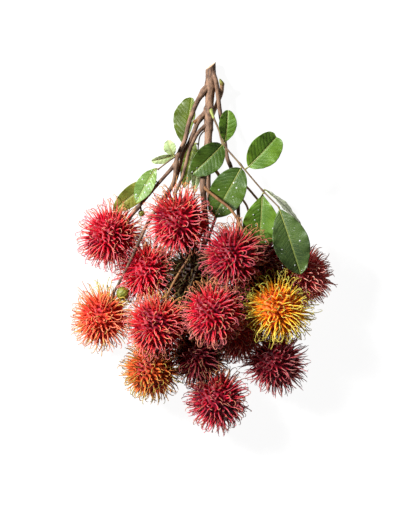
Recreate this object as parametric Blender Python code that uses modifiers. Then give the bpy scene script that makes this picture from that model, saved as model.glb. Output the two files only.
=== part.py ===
"""A picked bunch of rambutans, lying down: one cut woody branch with its side shoots, two compound
leaves, a small leaf behind, and eighteen spiny fruits heaped in two layers on the surface z = 0.

Tables are in millimetres: +X is to the right of the bunch, +Y runs up to the cut end of the
stem and +Z is up from the surface. The meshes are in metres.
"""

import math
import random

import bmesh
import bpy
import numpy as np
from mathutils import Vector

MM = 0.001
GAP = 0.35  # clearance between neighbours that grow from each other
BUNCH_NAME = "rambutan_bunch"

# Fruits. Each has its middle, the way its stalk end points, its radius and the reach of its spines.
FRUIT_STRETCH = 1.08  # length of a fruit over its width
SPINE_COUNT = 70
SPINE_SPACING = 0.30  # least distance between spine roots, in fruit radii
SPINE_ROOT = 2.2  # half width of a spine at its root
SPINE_MARGIN = 0.9  # clear space kept around a spine
SPINE_HOOK = 0.22  # sideways lean of a tip, as a share of the length
STALK_SIDE_GROWTH = 0.2  # how much longer the spines round the stalk are
STALK_CLEAR = 5.0  # bare ring round the end of the stalk
SPINE_TRIES = (1.0, 0.85, 0.7, 0.55, 0.4, 0.25)
FRUITS = {
    "fruit_01": ((-93.5, 11.0, 28.0), (0.71, 0.69, 0.12), 20.5, 15.5, "skin_red"),
    "fruit_02": ((-24.5, 25.5, 48.0), (-0.12, 0.97, 0.20), 22.0, 15.5, "skin_red"),
    "fruit_03": ((-57.0, -24.5, 28.0), (0.35, 0.93, 0.10), 20.0, 15.0, "skin_red"),
    "fruit_04": ((29.5, -8.5, 62.0), (0.33, 0.94, 0.10), 20.5, 17.0, "skin_crimson"),
    "fruit_05": ((-102.5, -71.0, 28.0), (0.47, 0.88, 0.10), 19.0, 15.5, "skin_orange"),
    "fruit_06": ((-47.5, -78.5, 50.0), (0.33, 0.94, 0.05), 21.0, 14.0, "skin_red"),
    "fruit_07": ((9.5, -66.5, 63.0), (0.00, 0.97, -0.25), 21.0, 14.0, "skin_crimson"),
    "fruit_08": ((74.5, -61.5, 50.0), (-0.60, 0.78, -0.10), 21.0, 16.5, "skin_yellow"),
    "fruit_09": ((100.5, -28.5, 28.0), (-0.60, 0.78, 0.15), 20.5, 12.5, "skin_crimson"),
    "fruit_10": ((-52.5, -123.0, 28.0), (0.40, 0.90, 0.15), 20.0, 14.0, "skin_orange"),
    "fruit_11": ((14.0, -153.0, 28.0), (0.00, 0.98, 0.20), 21.0, 14.0, "skin_crimson"),
    "fruit_12": ((72.0, -115.5, 28.0), (-0.50, 0.86, 0.10), 20.5, 14.0, "skin_crimson"),
    "fruit_13": ((-5.5, -109.5, 28.0), (-0.20, 0.90, 0.40), 20.0, 17.0, "skin_crimson"),
    "fruit_14": ((34.5, -85.5, 28.0), (0.20, 0.90, 0.40), 20.0, 17.0, "skin_red"),
    "fruit_15": ((56.5, -17.5, 28.0), (-0.35, 0.93, 0.15), 20.0, 17.0, "skin_crimson"),
    "fruit_16": ((-9.5, -29.0, 28.0), (0.30, 0.90, 0.30), 20.5, 17.0, "skin_yellow"),
    "fruit_17": ((-20.0, -69.0, 20.0), (0.10, 0.35, 0.93), 17.0, 14.5, "skin_yellow"),
    "fruit_18": ((41.5, -50.5, 16.5), (-0.45, 0.75, 0.50), 14.5, 14.0, "skin_crimson"),
}

# Small fruits that stayed undeveloped beside the stalk end of their sister.
NUBS = {
    "nub_01": ((-62.0, 34.8, 30.0), 3.5),
    "nub_05": ((-80.6, -45.8, 36.5), 6.7),
}

# Woody parts: what each grows from, its radius at both ends, its bark, the fruit that it ends in,
# and the points of its route. The first point only picks the place on the parent.
WOOD_STEP = 9.0  # spacing of the rings along a stem
STEM_CUT = ((7.6, 183.5, 5.0), (-0.60, 0.80, 0.13))  # a point and the normal of the slanted cut
STEMS = {
    "main_stem": (None, 4.75, 2.6, "bark", None, (
        (7.8, 192.0, 5.0), (6.6, 160.0, 10.0), (5.5, 133.5, 17.0), (4.5, 103.5, 25.0),
        (1.0, 76.0, 35.5), (-0.4, 66.0, 39.0), (-0.2, 56.0, 40.3), (0.8, 45.0, 39.3),
        (1.8, 33.0, 37.0), (2.4, 22.0, 36.2), (3.0, 14.0, 36.0))),
    "back_shoot": ("main_stem", 2.6, 2.0, "bark", None, (
        (4.0, 97.0, 27.3), (5.2, 86.0, 25.5), (5.0, 68.0, 26.0), (5.6, 50.0, 26.0),
        (7.0, 36.0, 26.5))),
    "shoot_left_1": ("main_stem", 2.6, 1.3, "bark", "fruit_05", (
        (6.6, 160.5, 10.5), (-1.0, 155.0, 13.3), (-7.5, 144.0, 17.0), (-14.5, 125.5, 22.0),
        (-18.5, 108.5, 28.0), (-26.5, 89.5, 34.0), (-30.0, 65.5, 38.5), (-41.0, 48.0, 39.0),
        (-55.5, 25.5, 43.0), (-71.0, -8.5, 47.0), (-83.5, -33.5, 38.5), (-89.5, -44.0, 33.0))),
    "shoot_left_2": ("main_stem", 2.5, 1.3, "bark", "fruit_03", (
        (5.5, 136.0, 17.0), (-0.5, 132.5, 18.5), (-5.0, 127.5, 20.3), (-8.8, 118.0, 22.4),
        (-13.5, 107.0, 25.0), (-20.5, 94.5, 26.5), (-24.0, 81.0, 27.5), (-29.0, 66.0, 27.0),
        (-40.0, 45.0, 26.0), (-46.5, 20.0, 28.0))),
    "shoot_left_3": ("main_stem", 2.0, 1.5, "bark", "fruit_02", (
        (4.9, 121.5, 20.0), (-5.5, 115.0, 25.5), (-14.0, 97.5, 30.5), (-17.5, 84.5, 33.5),
        (-22.0, 68.5, 41.0))),
    "right_branch": ("main_stem", 2.3, 1.6, "bark", None, (
        (8.0, 176.5, 9.0), (12.4, 168.0, 14.2), (14.0, 158.0, 14.0), (15.4, 146.0, 14.0),
        (16.5, 137.5, 14.5), (21.5, 104.5, 21.0), (24.0, 89.5, 25.0), (28.5, 76.5, 28.5),
        (34.5, 40.5, 35.0), (35.0, 12.0, 35.0), (34.0, -12.0, 34.0), (44.0, -42.0, 41.0))),
    "bud_shoot": ("main_stem", 1.9, 2.4, "bark", None, (
        (5.2, 127.0, 17.0), (10.8, 138.0, 7.5), (14.8, 148.0, 6.5), (17.8, 156.0, 9.2),
        (18.6, 164.0, 14.5))),
    "stalk_01": ("shoot_left_1", 1.9, 1.6, "bark", "fruit_01", (
        (-29.0, 83.0, 36.0), (-48.5, 60.5, 37.5), (-64.5, 41.5, 34.0))),
    "stalk_04": ("main_stem", 1.4, 1.3, "stalk", "fruit_04", (
        (-0.2, 60.0, 40.2), (4.5, 56.5, 45.5), (14.5, 48.5, 51.5), (28.0, 37.0, 58.0))),
    "stalk_06": ("main_stem", 1.3, 1.2, "stalk", "fruit_06", (
        (2.0, 27.0, 36.4), (-4.0, 8.0, 43.0), (-16.5, -13.5, 52.0), (-26.5, -29.0, 54.0))),
    "stalk_07": ("main_stem", 1.3, 1.2, "stalk", "fruit_07", (
        (2.5, 21.5, 36.4), (5.6, 10.0, 41.0), (6.8, -10.0, 48.5), (7.0, -30.0, 57.5))),
    "stalk_08": ("right_branch", 1.2, 1.2, "stalk", "fruit_08", (
        (40.5, -33.0, 39.5), (51.0, -38.0, 46.5))),
    "stalk_09": ("right_branch", 1.2, 1.1, "stalk", "fruit_09", (
        (30.0, 72.0, 29.5), (43.5, 60.5, 31.5), (54.0, 48.5, 33.5), (68.0, 32.0, 36.0),
        (80.0, 8.0, 36.0))),
    "stalk_10": ("stalk_13", 1.1, 1.1, "stalk", "fruit_10", (
        (-17.5, -66.0, 45.0), (-27.0, -84.0, 36.5))),
    "stalk_11": ("stalk_13", 1.1, 1.1, "stalk", "fruit_11", (
        (-17.0, -72.0, 43.0), (-2.0, -84.0, 43.0), (14.5, -103.0, 46.0))),
    "stalk_12": ("right_branch", 1.2, 1.1, "stalk", "fruit_12", (
        (43.0, -39.0, 40.5), (53.0, -55.0, 36.0), (58.5, -74.0, 33.0))),
    "stalk_13": ("main_stem", 1.4, 1.2, "stalk", "fruit_13", (
        (2.8, 15.5, 36.1), (-0.8, 3.0, 44.0), (-4.5, -15.0, 51.0), (-13.5, -40.0, 51.0),
        (-18.0, -60.0, 46.5))),
    "stalk_14": ("right_branch", 1.2, 1.1, "stalk", "fruit_14", (
        (41.0, -34.0, 39.0), (38.0, -47.0, 43.0))),
    "stalk_15": ("right_branch", 1.1, 1.1, "stalk", "fruit_15", (
        (33.0, 54.0, 34.0), (40.0, 47.0, 34.5), (45.0, 36.0, 35.0))),
    "stalk_16": ("back_shoot", 1.7, 1.3, "stalk", "fruit_16", (
        (5.2, 85.0, 25.6), (12.5, 77.0, 25.0), (16.5, 68.0, 25.0), (16.0, 45.0, 28.0),
        (8.0, 18.0, 32.0))),
    "stalk_17": ("stalk_13", 1.1, 1.1, "stalk", "fruit_17", (
        (-15.3, -48.0, 49.2), (-16.6, -55.5, 44.5))),
    "stalk_18": ("right_branch", 1.1, 1.0, "stalk", "fruit_18", (
        (36.0, -18.0, 35.3), (33.4, -26.0, 32.5))),
    "rachis_right": ("main_stem", 1.1, 0.7, "rachis", None, (
        (5.8, 140.0, 15.0), (9.5, 132.0, 25.0), (15.5, 117.5, 33.0), (20.0, 103.5, 38.5),
        (37.0, 83.0, 47.0), (59.0, 57.0, 55.0), (75.0, 40.5, 61.0))),
    "rachis_left": ("shoot_left_1", 0.8, 0.7, "rachis", None, (
        (-26.5, 92.5, 34.0), (-35.5, 86.0, 37.0), (-46.0, 78.0, 36.0))),
    "rachis_back": ("main_stem", 0.7, 0.6, "rachis", None, (
        (5.0, 118.0, 21.0), (-3.0, 113.0, 17.0), (-5.0, 104.0, 16.0), (-5.5, 98.0, 16.0))),
}
FINE_STEMS = 1.5  # stems no thicker than this radius have six sides, the others eight

# Bud at the end of the short shoot: where it sits, which way it points, its radius and length.
BUD = ((18.5, 164.9, 14.9), (-0.45, 1.0, 0.30), 2.0, 5.6)

# Leaflets: the stem that each is set against, its base, tip and width, the way its face looks, how
# far the blade arches up between its ends, how steeply its halves fold up from the midrib, and
# how pointed its base and its tip are.
LEAF_THICK = 0.5
LEAF_ROWS = 7
LEAF_FOOT = 0.9  # half width of the blade where it leaves the stem
LEAVES = {
    "leaflet_right_1": ("rachis_right", (21.5, 105.0, 40.0), (24.5, 137.5, 44.0), 18.5, (0.25, 0.0, 1.0),
        3.0, 0.24, (0.75, 0.42)),
    "leaflet_right_2": ("rachis_right", (19.0, 102.5, 40.0), (-12.0, 73.0, 43.0), 28.0, (0.1, -0.1, 1.0),
        4.0, 0.22, (0.50, 0.62)),
    "leaflet_right_3": ("rachis_right", (45.0, 80.5, 49.0), (74.0, 111.8, 52.0), 31.0, (0.1, -0.1, 1.0),
        4.0, 0.24, (0.55, 0.30)),
    "leaflet_right_4": ("rachis_right", (37.5, 79.0, 47.0), (10.5, 31.0, 35.5), 35.0, (-0.12, -0.1, 1.0),
        0.5, 0.12, (0.50, 0.54)),
    "leaflet_right_5": ("rachis_right", (59.0, 53.5, 55.0), (55.5, -2.0, 52.0), 37.0, (0.1, 0.0, 1.0),
        2.0, 0.18, (0.90, 0.60)),
    "leaflet_right_6": ("rachis_right", (76.0, 38.0, 61.0), (97.0, -26.5, 57.0), 36.0, (0.1, 0.0, 1.0),
        4.0, 0.20, (0.72, 0.60)),
    "leaflet_right_7": ("rachis_right", (61.5, 58.0, 55.0), (98.5, 20.5, 44.0), 15.0, (0.62, 0.66, 0.42),
        2.5, 0.10, (0.85, 0.85)),
    "leaflet_left_1": (None, (-21.8, 104.0, 16.0), (-14.5, 151.0, 6.0), 26.0, (-0.3, 0.1, 1.0),
        -3.0, 0.20, (0.80, 0.46)),
    "leaflet_left_2": ("rachis_left", (-30.0, 92.3, 34.0), (-36.0, 107.5, 35.0), 13.0, (-0.3, 0.0, 1.0),
        2.0, 0.15, (0.70, 0.50)),
    "leaflet_left_3": ("shoot_left_1", (-28.0, 92.8, 32.5), (-52.2, 86.3, 30.0), 9.5, (0.0, -0.5, 1.0),
        1.5, 0.20, (0.65, 0.50)),
    "leaflet_left_4": ("rachis_left", (-48.0, 79.5, 36.5), (-67.5, 45.0, 40.0), 18.5, (-0.2, 0.1, 1.0),
        2.5, 0.16, (0.72, 0.66)),
    "leaflet_left_5": (None, (-50.0, 68.0, 33.0), (-91.0, 36.5, 28.0), 21.0, (0.1, -0.2, 1.0),
        -3.0, 0.12, (0.66, 0.66)),
    "leaflet_back_1": (None, (-9.5, 105.0, 12.5), (-20.0, 60.0, 13.5), 16.0, (-0.1, 0.0, 1.0),
        -1.5, 0.10, (0.60, 0.70)),
    "leaflet_back_2": ("rachis_back", (-3.5, 97.0, 17.5), (-9.5, 56.0, 26.0), 11.0, (0.2, -0.2, 1.0),
        -1.0, 0.20, (0.75, 0.75)),
}

# Colours as linear RGB, and roughness.
FINISHES = {
    "skin_red": ((0.55, 0.010, 0.030), 0.45),
    "skin_crimson": ((0.33, 0.008, 0.025), 0.45),
    "skin_orange": ((0.78, 0.13, 0.035), 0.45),
    "skin_yellow": ((0.70, 0.35, 0.030), 0.45),
    "nub": ((0.32, 0.35, 0.04), 0.5),
    "bark": ((0.35, 0.19, 0.11), 0.8),
    "stalk": ((0.50, 0.24, 0.08), 0.7),
    "rachis": ((0.20, 0.15, 0.09), 0.6),
    "leaf": ((0.10, 0.22, 0.04), 0.4),
}


def make_material(name):
    colour, roughness = FINISHES[name]
    material = bpy.data.materials.new(name)
    material.use_nodes = True
    shader = material.node_tree.nodes["Principled BSDF"]
    shader.inputs["Base Color"].default_value = (*colour, 1.0)
    shader.inputs["Roughness"].default_value = roughness
    shader.inputs["Metallic"].default_value = 0.0
    return material


def add_object(name, data, finish, bunch):
    """Puts a mesh or curve in the bunch's collection, under the empty that places the bunch."""
    material = bpy.data.materials.get(finish) or make_material(finish)
    data.materials.append(material)
    piece = bpy.data.objects.new(name, data)
    piece.parent = bunch["placer"]
    bunch["collection"].objects.link(piece)
    return piece


def mesh_from(bm, name):
    """Turns a bmesh in millimetres into a smooth-shaded mesh in metres."""
    bmesh.ops.scale(bm, vec=(MM, MM, MM), verts=bm.verts)
    mesh = bpy.data.meshes.new(name)
    bm.to_mesh(mesh)
    bm.free()
    mesh.shade_smooth()
    mesh.set_sharp_from_angle(angle=math.radians(50))
    return mesh


# Routes

def smooth_route(points, step):
    """Points about one step apart on a Catmull-Rom curve through the given ones."""
    points = [Vector(p) for p in points]
    knots = [2 * points[0] - points[1], *points, 2 * points[-1] - points[-2]]
    route = []
    for before, start, end, after in zip(knots, knots[1:], knots[2:], knots[3:]):
        count = max(1, round((end - start).length / step))
        for i in range(count):
            t = i / count
            a = 2 * start
            b = end - before
            c = 2 * before - 5 * start + 4 * end - after
            d = -before + 3 * start - 3 * end + after
            route.append(0.5 * (a + b * t + c * t * t + d * t ** 3))
    route.append(points[-1])
    return route


def taper(start, end, count):
    return [start + (end - start) * i / (count - 1) for i in range(count)]


def clear_start(parent, near, target, radius):
    """Where a stem of this radius, aimed at target, starts just clear of its parent's surface."""
    points, radii = parent
    fine = [a.lerp(b, i / 4) for a, b in zip(points, points[1:]) for i in range(4)]
    fine_radii = [r for r in radii for _ in range(4)]
    index = min(range(len(fine) - 1), key=lambda i: (fine[i] - near).length)
    axis = (fine[index + 1] - fine[index]).normalized()
    heading = target - fine[index]
    side = (heading - axis * heading.dot(axis)).normalized()
    start = fine[index]
    for _ in range(3):
        lean = (target - start).normalized().dot(side)
        reach = fine_radii[index] + GAP + radius * math.sqrt(max(0.0, 1 - lean * lean))
        start = fine[index] + side * reach
    return start


# Fruits

def stalk_end(fruit, beyond):
    """The point on the fruit's axis at its stalk end, this far outside the skin."""
    centre, axis, radius, _, _ = FRUITS[fruit]
    return Vector(centre) + Vector(axis).normalized() * (radius * FRUIT_STRETCH + beyond)


def fruit_body(centre, axis, radius):
    """A bmesh ball, stretched along the axis."""
    bm = bmesh.new()
    bmesh.ops.create_icosphere(bm, subdivisions=3, radius=radius)
    turn = Vector((0, 0, 1)).rotation_difference(Vector(axis)).to_matrix()
    bmesh.ops.scale(bm, vec=(1, 1, FRUIT_STRETCH), verts=bm.verts)
    bmesh.ops.rotate(bm, matrix=turn, verts=bm.verts)
    bmesh.ops.translate(bm, vec=centre, verts=bm.verts)
    return bm


def pick_roots(bm, radius, pole, rng):
    """Faces for the spines, spread evenly and clear of the stalk."""
    faces = list(bm.faces)
    rng.shuffle(faces)
    picked = []
    for face in faces:
        middle = face.calc_center_median()
        spaced = all((middle - other.calc_center_median()).length > SPINE_SPACING * radius
                     for other in picked)
        if spaced and (middle - pole).length > STALK_CLEAR:
            picked.append(face)
        if len(picked) == SPINE_COUNT:
            break
    return picked


def spine_tip(root, outward, away, length, rng):
    """The tip of a spine, hooked away from the stalk end and never below the surface."""
    random_way = Vector((rng.uniform(-1, 1), rng.uniform(-1, 1), rng.uniform(-1, 1)))
    hook = (away * 0.6 + random_way) * SPINE_HOOK
    tip = root + (outward + hook).normalized() * length
    tip.z = max(tip.z, 0.0)
    return tip


def spine_balls(root, tip):
    """Balls along a spine, which stand for it where clearances are tested."""
    shares = (0.05, 0.2, 0.4, 0.6, 0.8, 1.0)
    return [(root.lerp(tip, s), SPINE_ROOT * (1 - s) + 0.15) for s in shares]


def is_clear(balls, obstacles, bodies):
    """True when the balls keep their margin to every obstacle and to the other fruits' bodies."""
    places = np.array([ball[0] for ball in balls])
    sizes = np.array([ball[1] for ball in balls]) + SPINE_MARGIN
    for points, radii in (obstacles, bodies):
        apart = np.linalg.norm(places[:, None] - points[None], axis=2)
        if (apart < sizes[:, None] + radii[None]).any():
            return False
    return True


def add_balls(obstacles, balls):
    points, radii = obstacles
    new_points = np.array([ball[0] for ball in balls])
    new_radii = np.array([ball[1] for ball in balls])
    return np.vstack((points, new_points)), np.concatenate((radii, new_radii))


def other_bodies(name):
    rows = [(f[0], f[2] * FRUIT_STRETCH) for other, f in FRUITS.items() if other != name]
    return np.array([row[0] for row in rows]), np.array([row[1] for row in rows])


def grow_fruit(name, obstacles, rng, bunch):
    """One fruit with its spines. Returns the obstacles with this fruit's spines added."""
    centre, axis, radius, reach, finish = FRUITS[name]
    axis = Vector(axis).normalized()
    bm = fruit_body(centre, axis, radius)
    bodies = other_bodies(name)
    own = []
    for face in pick_roots(bm, radius, stalk_end(name, 0), rng):
        root = face.calc_center_median()
        outward = (root - Vector(centre)).normalized()
        away = (outward * axis.dot(outward) - axis).normalized()
        growth = 1.0 + STALK_SIDE_GROWTH * max(0.0, outward.dot(axis))
        length = reach * growth * rng.uniform(0.85, 1.0)
        for share in SPINE_TRIES:
            tip = spine_tip(root, outward, away, length * share, rng)
            balls = spine_balls(root, tip)
            if is_clear(balls, obstacles, bodies):
                point = bmesh.ops.poke(bm, faces=[face])["verts"][0]
                point.co = tip
                own += balls
                break
    add_object(name, mesh_from(bm, name), finish, bunch)
    return add_balls(obstacles, own)


def make_nub(name, bunch):
    centre, radius = NUBS[name]
    bm = bmesh.new()
    bmesh.ops.create_icosphere(bm, subdivisions=2, radius=radius)
    bmesh.ops.translate(bm, vec=centre, verts=bm.verts)
    add_object(name, mesh_from(bm, name), "nub", bunch)
    return [(Vector(centre), radius)]


# Stems

def stem_route(name, routes):
    """The smooth route of a stem with its radii, from its parent to its fruit."""
    parent, first, last, _, fruit, points = STEMS[name]
    points = [Vector(p) for p in points]
    if parent:
        points[0] = clear_start(routes[parent], points[0], points[1], first)
    if fruit:
        points += [stalk_end(fruit, 6.0), stalk_end(fruit, GAP)]
    route = smooth_route(points, WOOD_STEP)
    return route, taper(first, last, len(route))


def tube(name, route, radii):
    """A curve object's data: a round tube with closed ends along the route."""
    curve = bpy.data.curves.new(name, "CURVE")
    curve.dimensions = "3D"
    curve.bevel_depth = MM
    curve.bevel_resolution = 1 if max(radii) <= FINE_STEMS else 2
    curve.use_fill_caps = True
    spline = curve.splines.new("POLY")
    spline.points.add(len(route) - 1)
    for point, place, radius in zip(spline.points, route, radii):
        point.co = (*(place * MM), 1.0)
        point.radius = radius
    return curve


def cut_slanted(piece, bunch):
    """Replaces the main stem's curve with a mesh whose top is cut off on a slant."""
    view = bpy.context.evaluated_depsgraph_get()
    mesh = bpy.data.meshes.new_from_object(piece.evaluated_get(view))
    name = piece.name
    curve = piece.data
    bpy.data.objects.remove(piece)
    bpy.data.curves.remove(curve)
    bm = bmesh.new()
    bm.from_mesh(mesh)
    bpy.data.meshes.remove(mesh)
    bmesh.ops.remove_doubles(bm, verts=bm.verts, dist=0.00001)
    place, normal = STEM_CUT
    everything = [*bm.verts, *bm.edges, *bm.faces]
    cut = bmesh.ops.bisect_plane(bm, geom=everything, plane_co=Vector(place) * MM,
                                 plane_no=normal, clear_outer=True)
    rim = [e for e in cut["geom_cut"] if isinstance(e, bmesh.types.BMEdge)]
    bmesh.ops.contextual_create(bm, geom=rim)
    bmesh.ops.recalc_face_normals(bm, faces=bm.faces)
    bmesh.ops.scale(bm, vec=(1 / MM, 1 / MM, 1 / MM), verts=bm.verts)
    add_object(name, mesh_from(bm, name), "bark", bunch)


def make_stems(bunch):
    """Every woody part. Returns their routes with radii."""
    routes = {}
    waiting = list(STEMS)
    while waiting:
        name = waiting.pop(0)
        parent = STEMS[name][0]
        if parent and parent not in routes:
            waiting.append(name)
            continue
        routes[name] = stem_route(name, routes)
        add_object(name, tube(name, *routes[name]), STEMS[name][3], bunch)
    cut_slanted(bpy.data.objects["main_stem"], bunch)
    return routes


def make_bud(bunch):
    place, direction, radius, length = BUD
    bm = bmesh.new()
    bmesh.ops.create_uvsphere(bm, u_segments=8, v_segments=6, radius=1.0)
    for vert in bm.verts:
        width = radius * (1.0 - 0.35 * max(0.0, vert.co.z))
        vert.co = Vector((vert.co.x * width, vert.co.y * width, (vert.co.z + 1) * length / 2))
    turn = Vector((0, 0, 1)).rotation_difference(Vector(direction)).to_matrix()
    bmesh.ops.rotate(bm, matrix=turn, verts=bm.verts)
    bmesh.ops.translate(bm, vec=place, verts=bm.verts)
    add_object("bud", mesh_from(bm, "bud"), "nub", bunch)


# Leaves

def leaf_half_width(u, width, ends):
    """Half the blade's width at a share u of its length. It is widest nearer its blunter end."""
    shifted = u ** (1 + 0.6 * (ends[0] - ends[1]))
    pointed = ends[0] * (1 - u) + ends[1] * u
    return max(LEAF_FOOT, width / 2 * math.sin(math.pi * shifted) ** pointed)


def leaf_points(name, routes):
    """Rows of five points across the blade, from its foot to its tip."""
    parent, base, tip, width, facing, arch, fold, ends = LEAVES[name]
    tip = Vector(tip)
    start = Vector(base)
    if parent:
        start = clear_start(routes[parent], start, tip, LEAF_FOOT + LEAF_THICK)
    along = tip - start
    side = Vector(facing).cross(along).normalized()
    up = along.cross(side).normalized()
    rows = []
    for i in range(LEAF_ROWS + 1):
        u = i / LEAF_ROWS
        half = leaf_half_width(min(u, 0.985), width, ends)
        middle = start + along * u + up * (arch * math.sin(math.pi * u))
        rows.append([middle + side * (half * v) + up * (abs(half * v) * fold)
                     for v in (-1.0, -0.5, 0.0, 0.5, 1.0)])
    return rows


def make_leaf(name, rows, bunch):
    """A thin closed blade: the grid of rows, thickened."""
    bm = bmesh.new()
    grid = [[bm.verts.new(point) for point in row] for row in rows]
    for low, high in zip(grid, grid[1:]):
        for i in range(len(low) - 1):
            bm.faces.new((low[i], low[i + 1], high[i + 1], high[i]))
    bmesh.ops.recalc_face_normals(bm, faces=bm.faces)
    leaf = add_object(name, mesh_from(bm, name), "leaf", bunch)
    solidify = leaf.modifiers.new("thickness", "SOLIDIFY")
    solidify.thickness = LEAF_THICK * MM
    solidify.offset = 0.0


# Bunch

def stem_balls(routes):
    balls = []
    for route, radii in routes.values():
        for a, b, radius in zip(route, route[1:], radii):
            balls += [(a.lerp(b, i / 5), radius) for i in range(5)]
    return balls


def leaf_balls(rows):
    """Balls that cover a blade, spaced closely enough that no spine slips between them."""
    balls = []
    for low, high in zip(rows, rows[1:]):
        for i in range(4):
            for u in (0.0, 0.33, 0.67, 1.0):
                for v in (0.0, 0.5, 1.0):
                    across = low[i].lerp(low[i + 1], v)
                    beyond = high[i].lerp(high[i + 1], v)
                    balls.append((across.lerp(beyond, u), 0.8))
    return balls


def clear_scene():
    for old in list(bpy.data.objects):
        bpy.data.objects.remove(old, do_unlink=True)


def new_bunch():
    collection = bpy.data.collections.new(BUNCH_NAME)
    bpy.context.scene.collection.children.link(collection)
    placer = bpy.data.objects.new("bunch_origin", None)
    collection.objects.link(placer)
    return {"collection": collection, "placer": placer}


def place_origin(bunch):
    """Moves the bunch so that the middle of its underside is at the origin."""
    bpy.context.view_layer.update()
    view = bpy.context.evaluated_depsgraph_get()
    corners = []
    for piece in bunch["collection"].objects:
        if piece.type != "EMPTY":
            shape = piece.evaluated_get(view)
            mesh = shape.to_mesh()
            corners += [tuple(piece.matrix_world @ vert.co) for vert in mesh.vertices]
            shape.to_mesh_clear()
    low = np.min(corners, axis=0)
    high = np.max(corners, axis=0)
    middle = (low + high) / 2
    bunch["placer"].location = (-middle[0], -middle[1], -low[2])


def build():
    clear_scene()
    bunch = new_bunch()
    rng = random.Random(11)
    routes = make_stems(bunch)
    make_bud(bunch)
    balls = stem_balls(routes)
    for name in LEAVES:
        rows = leaf_points(name, routes)
        make_leaf(name, rows, bunch)
        balls += leaf_balls(rows)
    for name in NUBS:
        balls += make_nub(name, bunch)
    obstacles = (np.array([ball[0] for ball in balls]), np.array([ball[1] for ball in balls]))
    for name in FRUITS:
        obstacles = grow_fruit(name, obstacles, rng, bunch)
    place_origin(bunch)


build()
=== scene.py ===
"""The looks of a picked bunch of rambutans that lies on a table: spiny rinds, woody stems and
quilted leaflets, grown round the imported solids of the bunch, with a plain stage.

The tables are in millimetres on the table top: +X is to the right of the bunch, +Y runs up to
the cut end of the stem and +Z is up. bunch_place turns them into metres in the frame.
"""

import math

import bmesh
import bpy
import numpy as np
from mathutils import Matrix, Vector, noise
from mathutils.bvhtree import BVHTree


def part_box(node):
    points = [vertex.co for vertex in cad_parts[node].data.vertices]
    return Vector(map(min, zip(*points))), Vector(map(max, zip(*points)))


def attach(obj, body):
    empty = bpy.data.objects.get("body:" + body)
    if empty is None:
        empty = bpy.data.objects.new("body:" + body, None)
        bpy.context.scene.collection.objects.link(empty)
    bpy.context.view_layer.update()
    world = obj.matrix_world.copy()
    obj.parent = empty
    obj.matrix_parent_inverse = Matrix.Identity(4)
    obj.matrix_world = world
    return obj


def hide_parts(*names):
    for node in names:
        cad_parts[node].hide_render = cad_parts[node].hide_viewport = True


bl_info = {
    "name": "Rambutan Bunch",
    "version": (1, 0, 0),
    "blender": (4, 5, 0),
    "location": "View3D > Sidebar > Rambutan",
    "description": "Grows a picked bunch of rambutans: rinds with soft spines, stems and leaves",
    "category": "Add Mesh",
}

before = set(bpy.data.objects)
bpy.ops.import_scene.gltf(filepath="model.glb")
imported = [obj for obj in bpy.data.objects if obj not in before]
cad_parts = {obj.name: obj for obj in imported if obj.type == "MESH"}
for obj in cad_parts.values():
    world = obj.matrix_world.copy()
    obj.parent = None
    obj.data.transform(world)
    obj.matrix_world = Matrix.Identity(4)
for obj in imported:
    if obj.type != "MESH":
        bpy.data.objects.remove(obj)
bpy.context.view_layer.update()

MM = 0.001
BODY = "root"
WHITE = (1.0, 1.0, 1.0, 1.0)
FLOOR_HALF = 6.0  # half the side of the floor, in metres
KEY_PLACE = (-1.62, 0.96, 1.42)  # place of the softbox, in metres
KEY_SIZE = 0.5
VIEW_MIDDLE = (3.0, -8.5, 50.0)  # table place that the camera looks at

# Fruits: middle, the way the stalk end points, radius, reach of the spines, finish slot and look.
FRUIT_STRETCH = 1.08
FRUITS = {
    "fruit_01": ((-93.5, 11, 28), (0.71, 0.69, 0.12), 20.5, 15.5, "skin_red", "bright_red"),
    "fruit_02": ((-24.5, 25.5, 48), (-0.12, 0.97, 0.20), 22, 15.5, "skin_red", "bright_red"),
    "fruit_03": ((-57, -24.5, 28), (0.35, 0.93, 0.10), 20, 15, "skin_red", "scarlet"),
    "fruit_04": ((29.5, -8.5, 62), (0.33, 0.94, 0.10), 20.5, 15.2, "skin_crimson", "crimson"),
    "fruit_05": ((-102.5, -71, 28), (0.47, 0.88, 0.10), 19, 15.5, "skin_orange", "orange_red"),
    "fruit_06": ((-47.5, -78.5, 50), (0.33, 0.94, 0.05), 21, 14, "skin_red", "coral"),
    "fruit_07": ((9.5, -66.5, 63), (0.00, 0.97, -0.25), 21, 14, "skin_crimson", "bright_red"),
    "fruit_08": ((74.5, -61.5, 50), (-0.60, 0.78, -0.10), 21, 16.5, "skin_yellow", "yellow"),
    # The lighter look of fruit_09 and fruit_14 is painted light on fruits in shade.
    "fruit_09": ((100.5, -28.5, 28), (-0.60, 0.78, 0.15), 20.5, 12.5, "skin_crimson", "rose"),
    "fruit_10": ((-52.5, -123, 28), (0.40, 0.90, 0.15), 20, 14, "skin_orange", "orange"),
    "fruit_11": ((14, -153, 28), (0.00, 0.98, 0.20), 21, 14, "skin_crimson", "crimson"),
    "fruit_12": ((72, -115.5, 28), (-0.50, 0.86, 0.10), 20.5, 14, "skin_crimson", "dusky"),
    "fruit_13": ((-5.5, -109.5, 28), (-0.20, 0.90, 0.40), 20, 13.5, "skin_crimson", "deep"),
    "fruit_14": ((34.5, -85.5, 28), (0.20, 0.90, 0.40), 20, 13, "skin_red", "rose"),
    "fruit_15": ((56.5, -17.5, 28), (-0.35, 0.93, 0.15), 20, 17, "skin_crimson", "deep"),
    # fruit_16 and fruit_17 have the darkened olive look: partly their own colour, partly painted
    # shade.
    "fruit_16": ((-9.5, -29, 28), (0.30, 0.90, 0.30), 20.5, 17, "skin_yellow", "olive"),
    "fruit_17": ((-20, -69, 20), (0.10, 0.35, 0.93), 17, 14.5, "skin_yellow", "olive"),
    "fruit_18": ((41.5, -50.5, 16.5), (-0.45, 0.75, 0.50), 14.5, 14, "skin_crimson", "deep"),
}

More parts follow.
